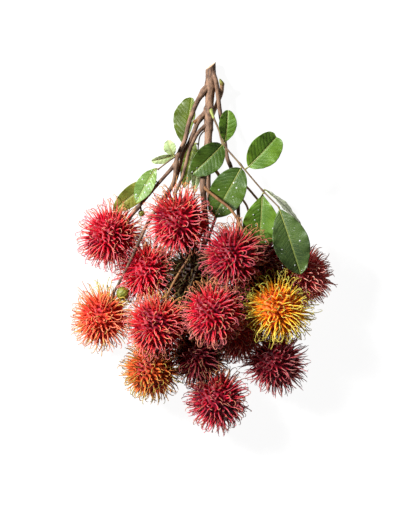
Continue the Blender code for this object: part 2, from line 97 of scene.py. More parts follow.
# Small fruits that stayed undeveloped beside the stalk end of their sister.
NUBS = {
    "nub_01": ((-62, 34.8, 30), 3.5),
    "nub_05": ((-80.6, -45.8, 36.5), 6.7),
}

# Woody parts: what each grows from, its radius at both ends, its finish slot, the fruit that it
# ends in, and the points of its route.
STEM_CUT = ((7.6, 183.5, 5), (-0.60, 0.80, 0.13))
STEMS = {
    "main_stem": (None, 4.75, 2.6, "bark", None, (
        (7.8, 192, 5), (6.6, 160, 10), (5.5, 133.5, 17), (4.5, 103.5, 25), (1, 76, 35.5),
        (-0.4, 66, 39), (-0.2, 56, 40.3), (0.8, 45, 39.3), (1.8, 33, 37), (2.4, 22, 36.2),
        (3, 14, 36))),
    "back_shoot": ("main_stem", 2.6, 2, "bark", None, (
        (4, 97, 27.3), (5.2, 86, 25.5), (5, 68, 26), (5.6, 50, 26), (7, 36, 26.5))),
    "shoot_left_1": ("main_stem", 2.6, 1.3, "bark", "fruit_05", (
        (6.6, 160.5, 10.5), (-1, 155, 13.3), (-7.5, 144, 17), (-14.5, 125.5, 22),
        (-18.5, 108.5, 28), (-26.5, 89.5, 34), (-30, 65.5, 38.5), (-41, 48, 39),
        (-55.5, 25.5, 43), (-71, -8.5, 47), (-83.5, -33.5, 38.5), (-89.5, -44, 33))),
    "shoot_left_2": ("main_stem", 2.5, 1.3, "bark", "fruit_03", (
        (5.5, 136, 17), (-0.5, 132.5, 18.5), (-5, 127.5, 20.3), (-8.8, 118, 22.4),
        (-13.5, 107, 25), (-20.5, 94.5, 26.5), (-24, 81, 27.5), (-29, 66, 27), (-40, 45, 26),
        (-46.5, 20, 28))),
    "shoot_left_3": ("main_stem", 2, 1.5, "bark", "fruit_02", (
        (4.9, 121.5, 20), (-5.5, 115, 25.5), (-14, 97.5, 30.5), (-17.5, 84.5, 33.5),
        (-22, 68.5, 41))),
    "right_branch": ("main_stem", 2.3, 1.6, "bark", None, (
        (8, 176.5, 9), (12.4, 168, 14.2), (14, 158, 14), (15.4, 146, 14), (16.5, 137.5, 14.5),
        (21.5, 104.5, 21), (24, 89.5, 25), (28.5, 76.5, 28.5), (34.5, 40.5, 35), (35, 12, 35),
        (34, -12, 34), (44, -42, 41))),
    "bud_shoot": ("main_stem", 1.9, 2.4, "bark", None, (
        (5.2, 127, 17), (10.8, 138, 7.5), (14.8, 148, 6.5), (17.8, 156, 9.2), (18.6, 164, 14.5))),
    "stalk_01": ("shoot_left_1", 1.9, 1.6, "bark", "fruit_01", (
        (-29, 83, 36), (-48.5, 60.5, 37.5), (-64.5, 41.5, 34))),
    "stalk_04": ("main_stem", 1.4, 1.3, "fruit_stalk", "fruit_04", (
        (-0.2, 60, 40.2), (4.5, 56.5, 45.5), (14.5, 48.5, 51.5), (28, 37, 58))),
    "stalk_06": ("main_stem", 1.3, 1.2, "fruit_stalk", "fruit_06", (
        (2, 27, 36.4), (-4, 8, 43), (-16.5, -13.5, 52), (-26.5, -29, 54))),
    "stalk_07": ("main_stem", 1.3, 1.2, "fruit_stalk", "fruit_07", (
        (2.5, 21.5, 36.4), (5.6, 10, 41), (6.8, -10, 48.5), (7, -30, 57.5))),
    "stalk_08": ("right_branch", 1.2, 1.2, "fruit_stalk", "fruit_08", (
        (40.5, -33, 39.5), (51, -38, 46.5))),
    "stalk_09": ("right_branch", 1.2, 1.1, "fruit_stalk", "fruit_09", (
        (30, 72, 29.5), (43.5, 60.5, 31.5), (54, 48.5, 33.5), (68, 32, 36), (80, 8, 36))),
    "stalk_13": ("main_stem", 1.4, 1.2, "fruit_stalk", "fruit_13", (
        (2.8, 15.5, 36.1), (-0.8, 3, 44), (-4.5, -15, 51), (-13.5, -40, 51), (-18, -60, 46.5))),
    "stalk_10": ("stalk_13", 1.1, 1.1, "fruit_stalk", "fruit_10", (
        (-17.5, -66, 45), (-27, -84, 36.5))),
    "stalk_11": ("stalk_13", 1.1, 1.1, "fruit_stalk", "fruit_11", (
        (-17, -72, 43), (-2, -84, 43), (14.5, -103, 46))),
    "stalk_12": ("right_branch", 1.2, 1.1, "fruit_stalk", "fruit_12", (
        (43, -39, 40.5), (53, -55, 36), (58.5, -74, 33))),
    "stalk_14": ("right_branch", 1.2, 1.1, "fruit_stalk", "fruit_14", (
        (41, -34, 39), (38, -47, 43))),
    "stalk_15": ("right_branch", 1.1, 1.1, "fruit_stalk", "fruit_15", (
        (33, 54, 34), (40, 47, 34.5), (45, 36, 35))),
    "stalk_16": ("back_shoot", 1.7, 1.3, "fruit_stalk", "fruit_16", (
        (5.2, 85, 25.6), (12.5, 77, 25), (16.5, 68, 25), (16, 45, 28), (8, 18, 32))),
    "stalk_17": ("stalk_13", 1.1, 1.1, "fruit_stalk", "fruit_17", (
        (-15.3, -48, 49.2), (-16.6, -55.5, 44.5))),
    "stalk_18": ("right_branch", 1.1, 1, "fruit_stalk", "fruit_18", (
        (36, -18, 35.3), (33.4, -26, 32.5))),
    "rachis_right": ("main_stem", 1.1, 0.7, "leaf_stalk", None, (
        (5.8, 140, 15), (9.5, 132, 25), (15.5, 117.5, 33), (20, 103.5, 38.5), (37, 83, 47),
        (59, 57, 55), (75, 40.5, 61))),
    "rachis_left": ("shoot_left_1", 0.8, 0.7, "leaf_stalk", None, (
        (-26.5, 92.5, 34), (-35.5, 86, 37), (-46, 78, 36))),
    "rachis_back": ("main_stem", 0.7, 0.6, "leaf_stalk", None, (
        (5, 118, 21), (-3, 113, 17), (-5, 104, 16), (-5.5, 98, 16))),
}

# Swollen places on the stems: where, how much thicker than the stem there, and how long.
SWELLINGS = {
    "main_stem": (((6.5, 163, 10), 0.22, 7), ((5.5, 136, 17), 0.16, 6)),
    "shoot_left_1": (((-0.5, 158, 12), 0.40, 4.5), ((-29, 83, 36), 0.35, 4)),
    "shoot_left_2": (((-4, 128.8, 19.8), 0.30, 4),),
    "right_branch": (((28.5, 84.5, 26.5), 0.30, 3), ((34, 42, 35), 0.25, 3.5)),
    "stalk_01": (((-66, 39.5, 33.5), 0.35, 4),),
    "stalk_04": (((14.5, 48.5, 50.5), 0.15, 4),),
    "rachis_right": (((6.8, 137, 20), 0.75, 4), ((20, 103.5, 38.5), 0.95, 3),
                     ((37, 83, 47), 0.55, 2.4), ((59, 57, 55), 0.55, 2.4)),
    "rachis_left": (((-46, 77.5, 36), 0.5, 2),),
}

# Scars of old bud scales: rings close together on a stem, by the place of the middle one.
RING_SCARS = {
    "shoot_left_1": ((-5, 152.5, 14), (-2, 155.5, 13), (-18.5, 108.5, 28)),
    "shoot_left_2": ((-12, 110.5, 24.2),),
    "stalk_01": ((-54.5, 55.5, 37), (-58.5, 47.5, 35.5)),
    "right_branch": ((21.5, 104.5, 21),),
    "main_stem": ((6.3, 150, 12.5), (4.5, 103.5, 25)),
}

BUD = ((18.5, 164.9, 14.9), (-0.45, 1, 0.30), 2, 5.6)
LEAF_FOOT_LENGTH = 19.0  # length of the swollen green foot of the right leaf's stalk

# Stubs of broken shoots: finish slot, route, and radius at both ends.
STUBS = {
    "shoot_left_2_stub": ("fruit_stalk", ((-2.6, 130.2, 19.4), (-6.4, 127.6, 21.2),
                                          (-9.8, 125.4, 22)), 1.7, 2.2),
}

# Leaflets: base, tip and width of the blade, the way its face looks, how far it arches up, how
# steeply its halves fold up, how pointed its base and its tip are, and its look.
LEAVES = {
    "leaflet_right_1": ((21.5, 105, 40), (24.5, 137.5, 44), 18.5, (0.25, 0, 1),
        3, 0.24, (0.75, 0.42), "fresh"),
    "leaflet_right_2": ((19, 102.5, 40), (-12, 73, 43), 28, (0.1, -0.1, 1),
        4, 0.22, (0.50, 0.62), "deep"),
    "leaflet_right_3": ((45, 80.5, 49), (74, 111.8, 52), 31, (0.1, -0.1, 1),
        4, 0.24, (0.55, 0.30), "fresh"),
    "leaflet_right_4": ((37.5, 79, 47), (10.5, 31, 35.5), 35, (-0.12, -0.1, 1),
        0.5, 0.12, (0.50, 0.54), "deep"),
    "leaflet_right_5": ((59, 53.5, 55), (55.5, -2, 52), 37, (0.1, 0, 1),
        2, 0.18, (0.90, 0.60), "fresh"),
    "leaflet_right_6": ((76, 38, 61), (97, -26.5, 57), 36, (0.1, 0, 1),
        4, 0.20, (0.72, 0.60), "bluish"),
    # This leaflet's near-white look is painted sheen.
    "leaflet_right_7": ((61.5, 58, 55), (98.5, 20.5, 44), 15, (0.62, 0.66, 0.42),
        2.5, 0.10, (0.85, 0.85), "painted_sheen"),
    "leaflet_left_1": ((-21.2, 104, 16), (-11.8, 151, 6), 30, (-0.3, 0.1, 1),
        -3, 0.20, (0.80, 0.46), "olive"),
    # The pale look of this leaflet, the next one and leaflet_back_2 is painted light shining
    # through them.
    "leaflet_left_2": ((-30, 92.3, 34), (-36, 107.5, 35), 13, (-0.3, 0, 1),
        2, 0.15, (0.70, 0.50), "pale"),
    "leaflet_left_3": ((-28, 92.8, 32.5), (-52.2, 86.3, 30), 9.5, (0, -0.5, 1),
        1.5, 0.20, (0.65, 0.50), "pale"),
    "leaflet_left_4": ((-48, 79.5, 36.5), (-67.5, 45, 40), 18.5, (-0.2, 0.1, 1),
        2.5, 0.16, (0.72, 0.66), "light"),
    "leaflet_left_5": ((-50, 68, 33), (-91, 36.5, 28), 21, (0.1, -0.2, 1),
        -3, 0.12, (0.66, 0.66), "yellowing"),
    "leaflet_back_1": ((-9.5, 105, 12.5), (-20, 60, 13.5), 16, (-0.1, 0, 1),
        -1.5, 0.10, (0.60, 0.70), "olive"),
    "leaflet_back_2": ((-3.5, 97, 17.5), (-9.5, 56, 26), 11, (0.2, -0.2, 1),
        -1, 0.20, (0.75, 0.75), "pale"),
}
NOTCHED = ("leaflet_right_3",)  # leaflets whose tip is notched
NOTCH_DEPTH = 1.5
RIGHT_HALF = {"leaflet_left_1": 0.45}  # leaflets with a narrower right half, as a share

# Water drops on a leaflet: how many, and the stretch of the blade that they lie on.
DROPS = {
    "leaflet_right_2": (5, 0.45, 0.92), "leaflet_right_4": (14, 0.30, 0.93),
    "leaflet_right_5": (14, 0.35, 0.92), "leaflet_right_6": (10, 0.40, 0.92),
    "leaflet_left_4": (18, 0.20, 0.90),
}


def srgb(red, green, blue):
    """A colour given in 0 to 255 display values, as linear RGB."""
    shares = [value / 255 for value in (red, green, blue)]
    return tuple(s / 12.92 if s <= 0.04045 else ((s + 0.055) / 1.055) ** 2.4 for s in shares)


# Rind looks, in display values from 0 to 255: skin, foot of a spine, its outer part and another
# shade of that, the spines at the stalk end, patches, and how much of the skin they cover.
RIND_LOOKS = {
    "bright_red": ((176, 10, 40), (240, 40, 58), (212, 112, 118), (198, 128, 100), (194, 142, 80),
                   (118, 4, 36), 0.42),
    "scarlet": ((182, 10, 42), (244, 42, 58), (208, 108, 114), (196, 126, 102), (194, 142, 80),
                (140, 4, 40), 0.38),
    "crimson": ((150, 8, 38), (226, 34, 60), (190, 94, 102), (174, 110, 88), (182, 132, 80),
                (92, 4, 32), 0.46),
    "dusky": ((128, 16, 34), (168, 30, 48), (176, 92, 96), (166, 106, 98), (150, 104, 84),
              (88, 6, 26), 0.50),
    "deep": ((104, 8, 24), (132, 20, 38), (140, 66, 68), (122, 86, 60), (140, 112, 66), (80, 6, 26),
             0.45),
    "coral": ((186, 14, 38), (246, 62, 58), (210, 114, 110), (198, 134, 94), (186, 146, 74),
              (124, 6, 38), 0.44),
    "orange_red": ((214, 66, 48), (240, 104, 64), (226, 144, 108), (206, 164, 90), (178, 172, 58),
                   (190, 34, 46), 0.42),
    "orange": ((196, 80, 34), (222, 112, 44), (196, 150, 78), (168, 154, 70), (158, 150, 60),
               (168, 40, 38), 0.42),
    "yellow": ((242, 130, 30), (255, 192, 30), (218, 202, 92), (194, 192, 86), (180, 182, 84),
               (206, 46, 40), 0.32),
    # The olive look is the colour of a green-brown fruit, darkened further as painted shade for the
    # deep shade in the middle of the bunch.
    "olive": ((58, 34, 18), (76, 58, 28), (92, 78, 46), (76, 76, 38), (82, 80, 42), (46, 12, 16),
              0.40),
    # The next look is a lighter, pinker rind: painted light for fruits that lie in shade under
    # leaflets and other fruits.
    "rose": ((192, 62, 62), (212, 84, 80), (218, 148, 138), (198, 154, 130), (176, 136, 100),
             (146, 40, 52), 0.40),
}

# Bark looks: lit colour, dark colour, speckles. Stems have the look of their finish slot, or
# the one that STEM_LOOKS gives.
BARK_LOOKS = {
    "bark": ((146, 113, 89), (70, 50, 38), (174, 144, 118)),
    "fruit_stalk": ((153, 110, 66), (97, 63, 40), (176, 139, 97)),
    "leaf_stalk": ((124, 106, 73), (90, 68, 50), (148, 130, 94)),
    # The next look is a lighter copy of the bark: painted light for stems that lie in the shadow of
    # a branch or a leaflet.
    "painted_lit_bark": ((212, 168, 134), (122, 92, 70), (226, 192, 162)),
    # The next look is a darker copy of the bark: painted shade for stalks that lie in shadow under
    # the fruits.
    "painted_shade_stalk": ((77, 57, 37), (40, 31, 24), (97, 77, 52)),
}
STEM_LOOKS = {
    # Painted shade: these stalks get the darker copy of the bark because they lie in shadow.
    **dict.fromkeys(("stalk_07", "stalk_11", "stalk_13", "stalk_17", "stalk_18"), "painted_shade_stalk"),
    # Painted light: the bud shoot and these stalks get the lighter copy of the bark, as if lit
    # where they lie in shadow.
    **dict.fromkeys(("bud_shoot", "stalk_09", "stalk_15"), "painted_lit_bark"),
}

# Leaf looks: blade, its darker part, its veins.
LEAF_LOOKS = {
    "fresh": ((96, 129, 33), (71, 106, 24), (137, 164, 77)),
    "deep": ((71, 99, 28), (49, 77, 21), (127, 150, 73)),
    "bluish": ((73, 97, 45), (49, 71, 37), (137, 155, 80)),
    # The pale look is painted light: its light colour stands in for the light that shines through
    # these thin leaflets.
    "pale": ((164, 179, 127), (139, 162, 101), (179, 190, 141)),
    # The next look is a near-white blade colour: painted sheen for a leaflet seen edge on and
    # turned away from the softbox.
    "painted_sheen": ((232, 238, 204), (212, 222, 178), (238, 242, 212)),
    "light": ((115, 144, 66), (92, 125, 50), (148, 171, 101)),
    "olive": ((80, 97, 10), (63, 80, 14), (122, 134, 61)),
    "yellowing": ((139, 137, 54), (106, 117, 38), (158, 157, 87)),
}


# Settings

def colour_setting(name, description, **limits):
    return bpy.props.FloatVectorProperty(
        name=name, description=description, subtype="COLOR", size=3, **limits)


def distance_setting(name, description, default, low, high):
    """A distance whose default and limits are given in millimetres."""
    return bpy.props.FloatProperty(
        name=name, description=description, default=default * MM, min=low * MM, max=high * MM,
        precision=5, subtype="DISTANCE")


def share_setting(name, description, default, high=1.0):
    return bpy.props.FloatProperty(
        name=name, description=description, default=default, min=0.0, max=high, subtype="FACTOR")


def count_setting(name, description, default, low, high):
    return bpy.props.IntProperty(
        name=name, description=description, default=default, min=low, max=high)


class RindLook(bpy.types.PropertyGroup):
    """The colours of one kind of rind."""
    skin: colour_setting("Skin", "Colour between the spines")
    spine: colour_setting("Spine", "Colour of the lower half of a spine")
    outer: colour_setting("Outer Spine", "Colour of most spines near their tips")
    outer_other: colour_setting("Other Outer Spine", "Colour of the other spines near their tips")
    stalk_end: colour_setting("Stalk End", "Colour of the spines round the stalk")
    patch: colour_setting("Patches", "Colour of the patches on the skin")
    patch_share: share_setting("Patch Share", "How much of the skin the patches cover", 0.4)


class FruitSettings(bpy.types.PropertyGroup):
    """Sizes of the rinds and their spines."""
    spine_count: count_setting("Spines", "Spines on one fruit", 350, 20, 600)
    root_radius: distance_setting(
        "Root Radius", "Radius of a spine where it leaves the skin", 1.6, 0.2, 4)
    rings: count_setting("Rings", "Rings of points along a spine", 12, 4, 16)
    sides: count_setting("Sides", "Sides of a spine", 5, 3, 8)
    mound: distance_setting("Mound", "Height of the mound that each spine grows from", 1.0, 0.0, 2)
    seed: bpy.props.IntProperty(
        name="Seed", description="Changes how the spines are spread and curled", default=23)
    looks: bpy.props.CollectionProperty(
        type=RindLook, name="Looks", description="Colours of each kind of rind")


class StemSettings(bpy.types.PropertyGroup):
    """Sizes of the woody parts."""
    ring_spacing: distance_setting(
        "Ring Spacing", "Distance between rings of points along a stem", 0.8, 0.3, 5)
    sides: count_setting("Sides", "Sides of a stem", 14, 6, 32)
    knobble: share_setting(
        "Knobble", "Unevenness of the bark, as a share of the radius", 0.08, 0.5)
    flare: share_setting(
        "Flare", "How much a stem widens where it leaves its parent", 0.40, 2.0)
    seed: bpy.props.IntProperty(
        name="Seed", description="Changes the unevenness of the bark", default=4)


class LeafSettings(bpy.types.PropertyGroup):
    """Sizes of the leaflets."""
    rows: count_setting("Rows", "Rows of points along a blade", 84, 12, 200)
    columns: count_setting("Columns", "Points across a blade", 41, 9, 99)
    thickness: distance_setting("Thickness", "Thickness of a blade", 0.3, 0.1, 1)
    vein_spacing: distance_setting(
        "Vein Spacing", "Distance between side veins along the midrib", 4.4, 1, 20)
    quilting: distance_setting(
        "Quilting", "How far the blade puffs up between its side veins", 0.26, 0.0, 2)


class StageSettings(bpy.types.PropertyGroup):
    """Floor, lights and camera."""
    floor_colour: colour_setting(
        "Floor", "Colour of the floor", default=(0.12, 0.12, 0.12), min=0.0, max=1.0)
    camera_height: bpy.props.FloatProperty(
        name="Camera Height", description="Height of the camera over the middle of the bunch",
        default=6.0, min=0.5, max=20.0, subtype="DISTANCE")
    view_length: bpy.props.FloatProperty(
        name="View Length", description="Length that the camera sees along the bunch",
        default=0.512, min=0.1, max=5.0, subtype="DISTANCE")
    key_power: bpy.props.FloatProperty(
        name="Key Light", description="Power of the softbox at the upper left", default=146.0,
        min=0.0, unit="POWER")
    fill: bpy.props.FloatProperty(
        name="Fill", description="Brightness of the light from all round", default=0.04, min=0.0)


class BunchSettings(bpy.types.PropertyGroup):
    """All the settings of the bunch."""
    fruits: bpy.props.PointerProperty(type=FruitSettings)
    stems: bpy.props.PointerProperty(type=StemSettings)
    leaves: bpy.props.PointerProperty(type=LeafSettings)
    stage: bpy.props.PointerProperty(type=StageSettings)


# Places

def shift_to_frame():
    """What has to be added to a table place to reach its place in the frame, in metres."""
    low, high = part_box("nub_05")
    return np.array((low + high) / 2) - np.array(NUBS["nub_05"][0]) * MM


SHIFT = shift_to_frame()


def bunch_place(points):
    """Table places in millimetres as frame places in metres."""
    return np.asarray(points, float) * MM + SHIFT


def unit(vector):
    vector = np.asarray(vector, float)
    return vector / np.linalg.norm(vector, axis=-1, keepdims=True)


def gaps(points, place):
    """How far each point is from the place."""
    return np.linalg.norm(points - np.array(place), axis=-1)


def frame_of(axis):
    """Three unit vectors at right angles, the last along the axis."""
    axis = unit(axis)
    helper = np.array((1.0, 0.0, 0.0) if abs(axis[0]) < 0.8 else (0.0, 1.0, 0.0))
    first = unit(np.cross(helper, axis))
    return np.array((first, np.cross(axis, first), axis))


# Nodes

def feed(tree, node, inputs):
    """Sets a node's inputs. Each, by name or number, gets a value or the socket that feeds it."""
    for key, value in inputs.items():
        if isinstance(value, bpy.types.NodeSocket):
            tree.links.new(value, node.inputs[key])
        else:
            node.inputs[key].default_value = value


def add_node(tree, kind, inputs=None, **settings):
    node = tree.nodes.new(kind)
    for name, value in settings.items():
        setattr(node, name, value)
    feed(tree, node, inputs or {})
    return node


def maths(tree, operation, first, second=0.0):
    return add_node(tree, "ShaderNodeMath", {0: first, 1: second}, operation=operation).outputs[0]


def times(tree, first, second):
    return maths(tree, "MULTIPLY", first, second)


def plus(tree, first, second):
    return maths(tree, "ADD", first, second)


def smooth_step(tree, value, low, high, start=0.0, end=1.0):
    """Rises smoothly from start to end as the value goes from low to high."""
    return add_node(tree, "ShaderNodeMapRange", {
        "Value": value, "From Min": low, "From Max": high, "To Min": start, "To Max": end,
    }, interpolation_type="SMOOTHSTEP").outputs[0]


def blend_colours(tree, share, first, second):
    """Mixes two colours, each a linear RGB triple or the socket that feeds it."""
    first, second = (value if isinstance(value, bpy.types.NodeSocket) else (*value, 1.0)
                     for value in (first, second))
    return add_node(tree, "ShaderNodeMix", {0: share, 6: first, 7: second},
                    data_type="RGBA").outputs[2]


def blend_vectors(tree, share, first, second):
    return add_node(tree, "ShaderNodeMix", {0: share, 4: first, 5: second},
                    data_type="VECTOR").outputs[1]


def combine(tree, x, y, z):
    return add_node(tree, "ShaderNodeCombineXYZ", {0: x, 1: y, 2: z}).outputs[0]


def noise_of(tree, place, scale, detail=3.0, roughness=0.55):
    return add_node(tree, "ShaderNodeTexNoise", {
        "Vector": place, "Scale": scale, "Detail": detail, "Roughness": roughness,
    }).outputs["Fac"]


def attribute_of(tree, name, output="Fac"):
    return add_node(tree, "ShaderNodeAttribute", attribute_name=name).outputs[output]


def bump_of(tree, height, strength, distance):
    return add_node(tree, "ShaderNodeBump", {
        "Height": height, "Strength": strength, "Distance": distance}).outputs["Normal"]


def new_material(name):
    """A material, its node tree, its Principled shader and the object's own coordinates."""
    material = bpy.data.materials.new(name)
    material.use_nodes = True
    tree = material.node_tree
    place = add_node(tree, "ShaderNodeTexCoord").outputs["Object"]
    return material, tree, tree.nodes["Principled BSDF"], place


# Materials

def rind_material(look):
    """Skin and spines: foot, middle and tip of a spine differ, and so does the stalk end. The skin
    is darkened where it lies deep between the mounds, as painted shade.
    """
    material, tree, shader, place = new_material("rind_" + look.name)
    along, stalkward, variation, crevice = (
        attribute_of(tree, name) for name in ("along", "stalkward", "variation", "crevice"))
    patches = smooth_step(tree, noise_of(tree, place, 46.0, 2.0),
                          0.62 - 0.3 * look.patch_share, 0.78 - 0.3 * look.patch_share)
    skin = blend_colours(tree, patches, look.skin, look.patch)
    # Painted shade: where the skin lies deep between the mounds it is blended towards a dark copy
    # of the patch colour.
    dark = tuple(0.45 * value for value in look.patch)
    skin = blend_colours(tree, times(tree, crevice, 0.75), skin, dark)
    foot = blend_colours(tree, times(tree, patches, 0.5), look.spine, look.patch)
    spine = blend_colours(tree, smooth_step(tree, along, 0.05, 0.24), skin, foot)
    outer = blend_colours(tree, smooth_step(tree, variation, 0.45, 0.75),
                          look.outer, look.outer_other)
    reach = times(tree, smooth_step(tree, along, 0.16, 0.42),
                  smooth_step(tree, variation, 0.0, 0.4, 0.62, 0.95))
    spine = blend_colours(tree, reach, spine, outer)
    stalk_share = times(tree, smooth_step(tree, stalkward, 0.76, 0.97),
                        smooth_step(tree, along, 0.20, 0.60, 0.08, 0.95))
    spine = blend_colours(tree, stalk_share, spine, look.stalk_end)
    dry_tip = times(tree, smooth_step(tree, along, 0.92, 1.0),
                    smooth_step(tree, variation, 0.3, 0.9, 0.1, 0.7))
    spine = blend_colours(tree, dry_tip, spine, srgb(120, 70, 52))
    grain = noise_of(tree, place, 620.0, 4.0, 0.65)
    tone = add_node(tree, "ShaderNodeHueSaturation", {
        "Color": spine, "Value": smooth_step(tree, grain, 0.25, 0.75, 0.82, 1.12)})
    feed(tree, shader, {
        "Base Color": tone.outputs["Color"], "Specular IOR Level": 0.22,
        "Roughness": smooth_step(tree, grain, 0.2, 0.8, 0.46, 0.64),
        "Normal": bump_of(tree, noise_of(tree, place, 1500.0, 2.0), 0.25, 0.0002)})
    return material


def nub_material():
    """Olive-green skin of a fruit that never grew, browner where the piece has 'brown'."""
    material, tree, shader, place = new_material("nub_skin")
    mottle = noise_of(tree, place, 420.0, 4.0)
    green = blend_colours(tree, smooth_step(tree, mottle, 0.35, 0.65),
                          srgb(87, 93, 21), srgb(128, 130, 39))
    feed(tree, shader, {
        "Base Color": blend_colours(tree, attribute_of(tree, "brown"), green, srgb(115, 89, 51)),
        "Roughness": smooth_step(tree, mottle, 0.3, 0.7, 0.42, 0.6),
        "Normal": bump_of(tree, noise_of(tree, place, 1300.0, 3.0), 0.4, 0.0003)})
    return material


def bark_material(slot):
    """Bark with streaks along the stem, dark patches, and pale lenticels."""
    lit, dark, speckle = (srgb(*rgb) for rgb in BARK_LOOKS[slot])
    material, tree, shader, place = new_material("wood_" + slot)
    ring = add_node(tree, "ShaderNodeSeparateXYZ", {0: attribute_of(tree, "ring", "Vector")})
    length = attribute_of(tree, "length")
    streaks, speckles = (
        combine(tree, ring.outputs[0], ring.outputs[1], times(tree, length, stretch))
        for stretch in (55.0, 260.0))
    streaks = noise_of(tree, streaks, 3.2, 5.0, 0.62)
    patches = noise_of(tree, place, 85.0, 4.0, 0.6)
    fine = noise_of(tree, place, 900.0, 3.0, 0.6)
    share = plus(tree, times(tree, streaks, 0.55), times(tree, patches, 0.45))
    bark = blend_colours(tree, smooth_step(tree, share, 0.40, 0.62), dark, lit)
    bark = blend_colours(tree, smooth_step(tree, fine, 0.56, 0.70, 0.0, 0.5), bark, dark)
    spots = add_node(tree, "ShaderNodeTexVoronoi", {"Vector": speckles, "Scale": 2.2})
    lenticel = smooth_step(tree, spots.outputs["Distance"], 0.10, 0.20, 0.75, 0.0)
    height = plus(tree, times(tree, streaks, 0.7), times(tree, fine, 0.3))
    height = plus(tree, height, times(tree, lenticel, 0.25))
    feed(tree, shader, {
        "Base Color": blend_colours(tree, lenticel, bark, speckle), "Specular IOR Level": 0.35,
        "Roughness": smooth_step(tree, streaks, 0.3, 0.7, 0.62, 0.85),
        "Normal": bump_of(tree, height, 0.7, 0.0006)})
    return material


def cut_wood_material():
    """Pale fresh-cut wood with growth rings round the pith."""
    material, tree, shader, place = new_material("cut_wood")
    moved = add_node(tree, "ShaderNodeMapping", {
        "Vector": place, "Location": -Vector(bunch_place(STEM_CUT[0]))})
    distance = add_node(tree, "ShaderNodeVectorMath", {0: moved.outputs[0]},
                        operation="LENGTH").outputs["Value"]
    wobble = times(tree, noise_of(tree, place, 500.0), 0.0008)
    rings = maths(tree, "SINE", times(tree, plus(tree, distance, wobble), 9500.0))
    wood = blend_colours(tree, smooth_step(tree, rings, -1.0, 1.0, 0.0, 0.5),
                         srgb(201, 169, 134), srgb(175, 138, 101))
    pith = smooth_step(tree, distance, 0.0005, 0.0010, 0.8, 0.0)
    feed(tree, shader, {
        "Base Color": blend_colours(tree, pith, wood, srgb(138, 96, 64)), "Roughness": 0.8,
        "Normal": bump_of(tree, noise_of(tree, place, 2600.0), 0.5, 0.0003)})
    return material


def leaf_material(name, underside=False):
    """A blade with a pale midrib, curved side veins and a fine net between them."""
    blade, deep, vein = (srgb(*rgb) for rgb in LEAF_LOOKS[name])
    if underside:
        blade, deep = (
            tuple(0.55 * a + 0.45 * b for a, b in zip(front, srgb(*back)))
            for front, back in ((blade, (160, 180, 120)), (deep, (140, 160, 104))))
    material, tree, shader, place = new_material(
        "leaf_" + name + ("_underside" if underside else ""))
    spread = attribute_of(tree, "blade", "Vector")
    across = maths(tree, "ABSOLUTE", add_node(tree, "ShaderNodeSeparateXYZ", {
        0: spread}).outputs[0])
    order = maths(tree, "FRACT", attribute_of(tree, "vein_order"))
    off_vein = maths(tree, "ABSOLUTE", maths(tree, "SUBTRACT", order, 0.5))
    side_vein = times(tree, smooth_step(tree, off_vein, 0.43, 0.495),
                      smooth_step(tree, across, 0.004, 0.015, 0.85, 0.35))
    midrib = smooth_step(tree, across, 0.00030, 0.00085, 1.0, 0.0)
    net = add_node(tree, "ShaderNodeTexVoronoi", {"Vector": spread, "Scale": 720.0},
                   feature="DISTANCE_TO_EDGE")
    net_line = smooth_step(tree, net.outputs["Distance"], 0.0, 0.12, 1.0, 0.0)
    tone = noise_of(tree, place, 60.0, 3.0)
    green = blend_colours(tree, smooth_step(tree, tone, 0.35, 0.68), blade, deep)
    green = blend_colours(tree, smooth_step(tree, off_vein, 0.0, 0.5, 0.0, 0.35), green, deep)
    for line, strength in ((net_line, 0.16), (side_vein, 0.42), (midrib, 0.9)):
        green = blend_colours(tree, times(tree, line, strength), green, vein)
    roughness = (0.5, 0.65) if underside else (0.34, 0.50)
    relief = plus(tree, times(tree, net_line, -0.35), times(tree, side_vein, -0.8))
    feed(tree, shader, {
        "Base Color": green, "Specular IOR Level": 0.4,
        "Roughness": smooth_step(tree, tone, 0.3, 0.7, *roughness),
        "Normal": bump_of(tree, relief, 0.5, 0.0003)})
    return material


def leaf_rib_material():
    """Yellow-green midrib and leaf foot."""
    material, tree, shader, place = new_material("leaf_rib")
    green = blend_colours(tree, noise_of(tree, place, 500.0, 3.0),
                          srgb(124, 134, 56), srgb(146, 150, 78))
    brown = smooth_step(tree, attribute_of(tree, "foot"), 0.2, 0.9, 0.0, 0.6)
    feed(tree, shader, {
        "Base Color": blend_colours(tree, brown, green, srgb(120, 106, 57)), "Roughness": 0.5,
        "Normal": bump_of(tree, noise_of(tree, place, 1800.0), 0.3, 0.0002)})
    return material


def water_material():
    """Drops of half clear water and half diffuse near-white: the white is a painted highlight that
    stands in for the glints they catch.
    """
    material, tree, shader, place = new_material("water")
    feed(tree, shader, {
        # Painted highlight: half of each drop is a diffuse near-white, not clear water.
        "Base Color": (0.93, 0.96, 0.93, 1.0), "Transmission Weight": 0.5, "IOR": 1.33,
        "Roughness": smooth_step(tree, noise_of(tree, place, 900.0), 0.3, 0.7, 0.02, 0.10)})
    return material


def floor_material(rgb):
    """Plain white floor that glows a little, so that shadows on it stay faint."""
    material, tree, shader, place = new_material("floor_white")
    white = blend_colours(tree, noise_of(tree, place, 3.0), rgb, tuple(0.985 * c for c in rgb))
    feed(tree, shader, {
        "Base Color": white, "Roughness": 0.9, "Specular IOR Level": 0.1,
        "Emission Color": WHITE, "Emission Strength": 0.95})
    return material


# Geometry Nodes

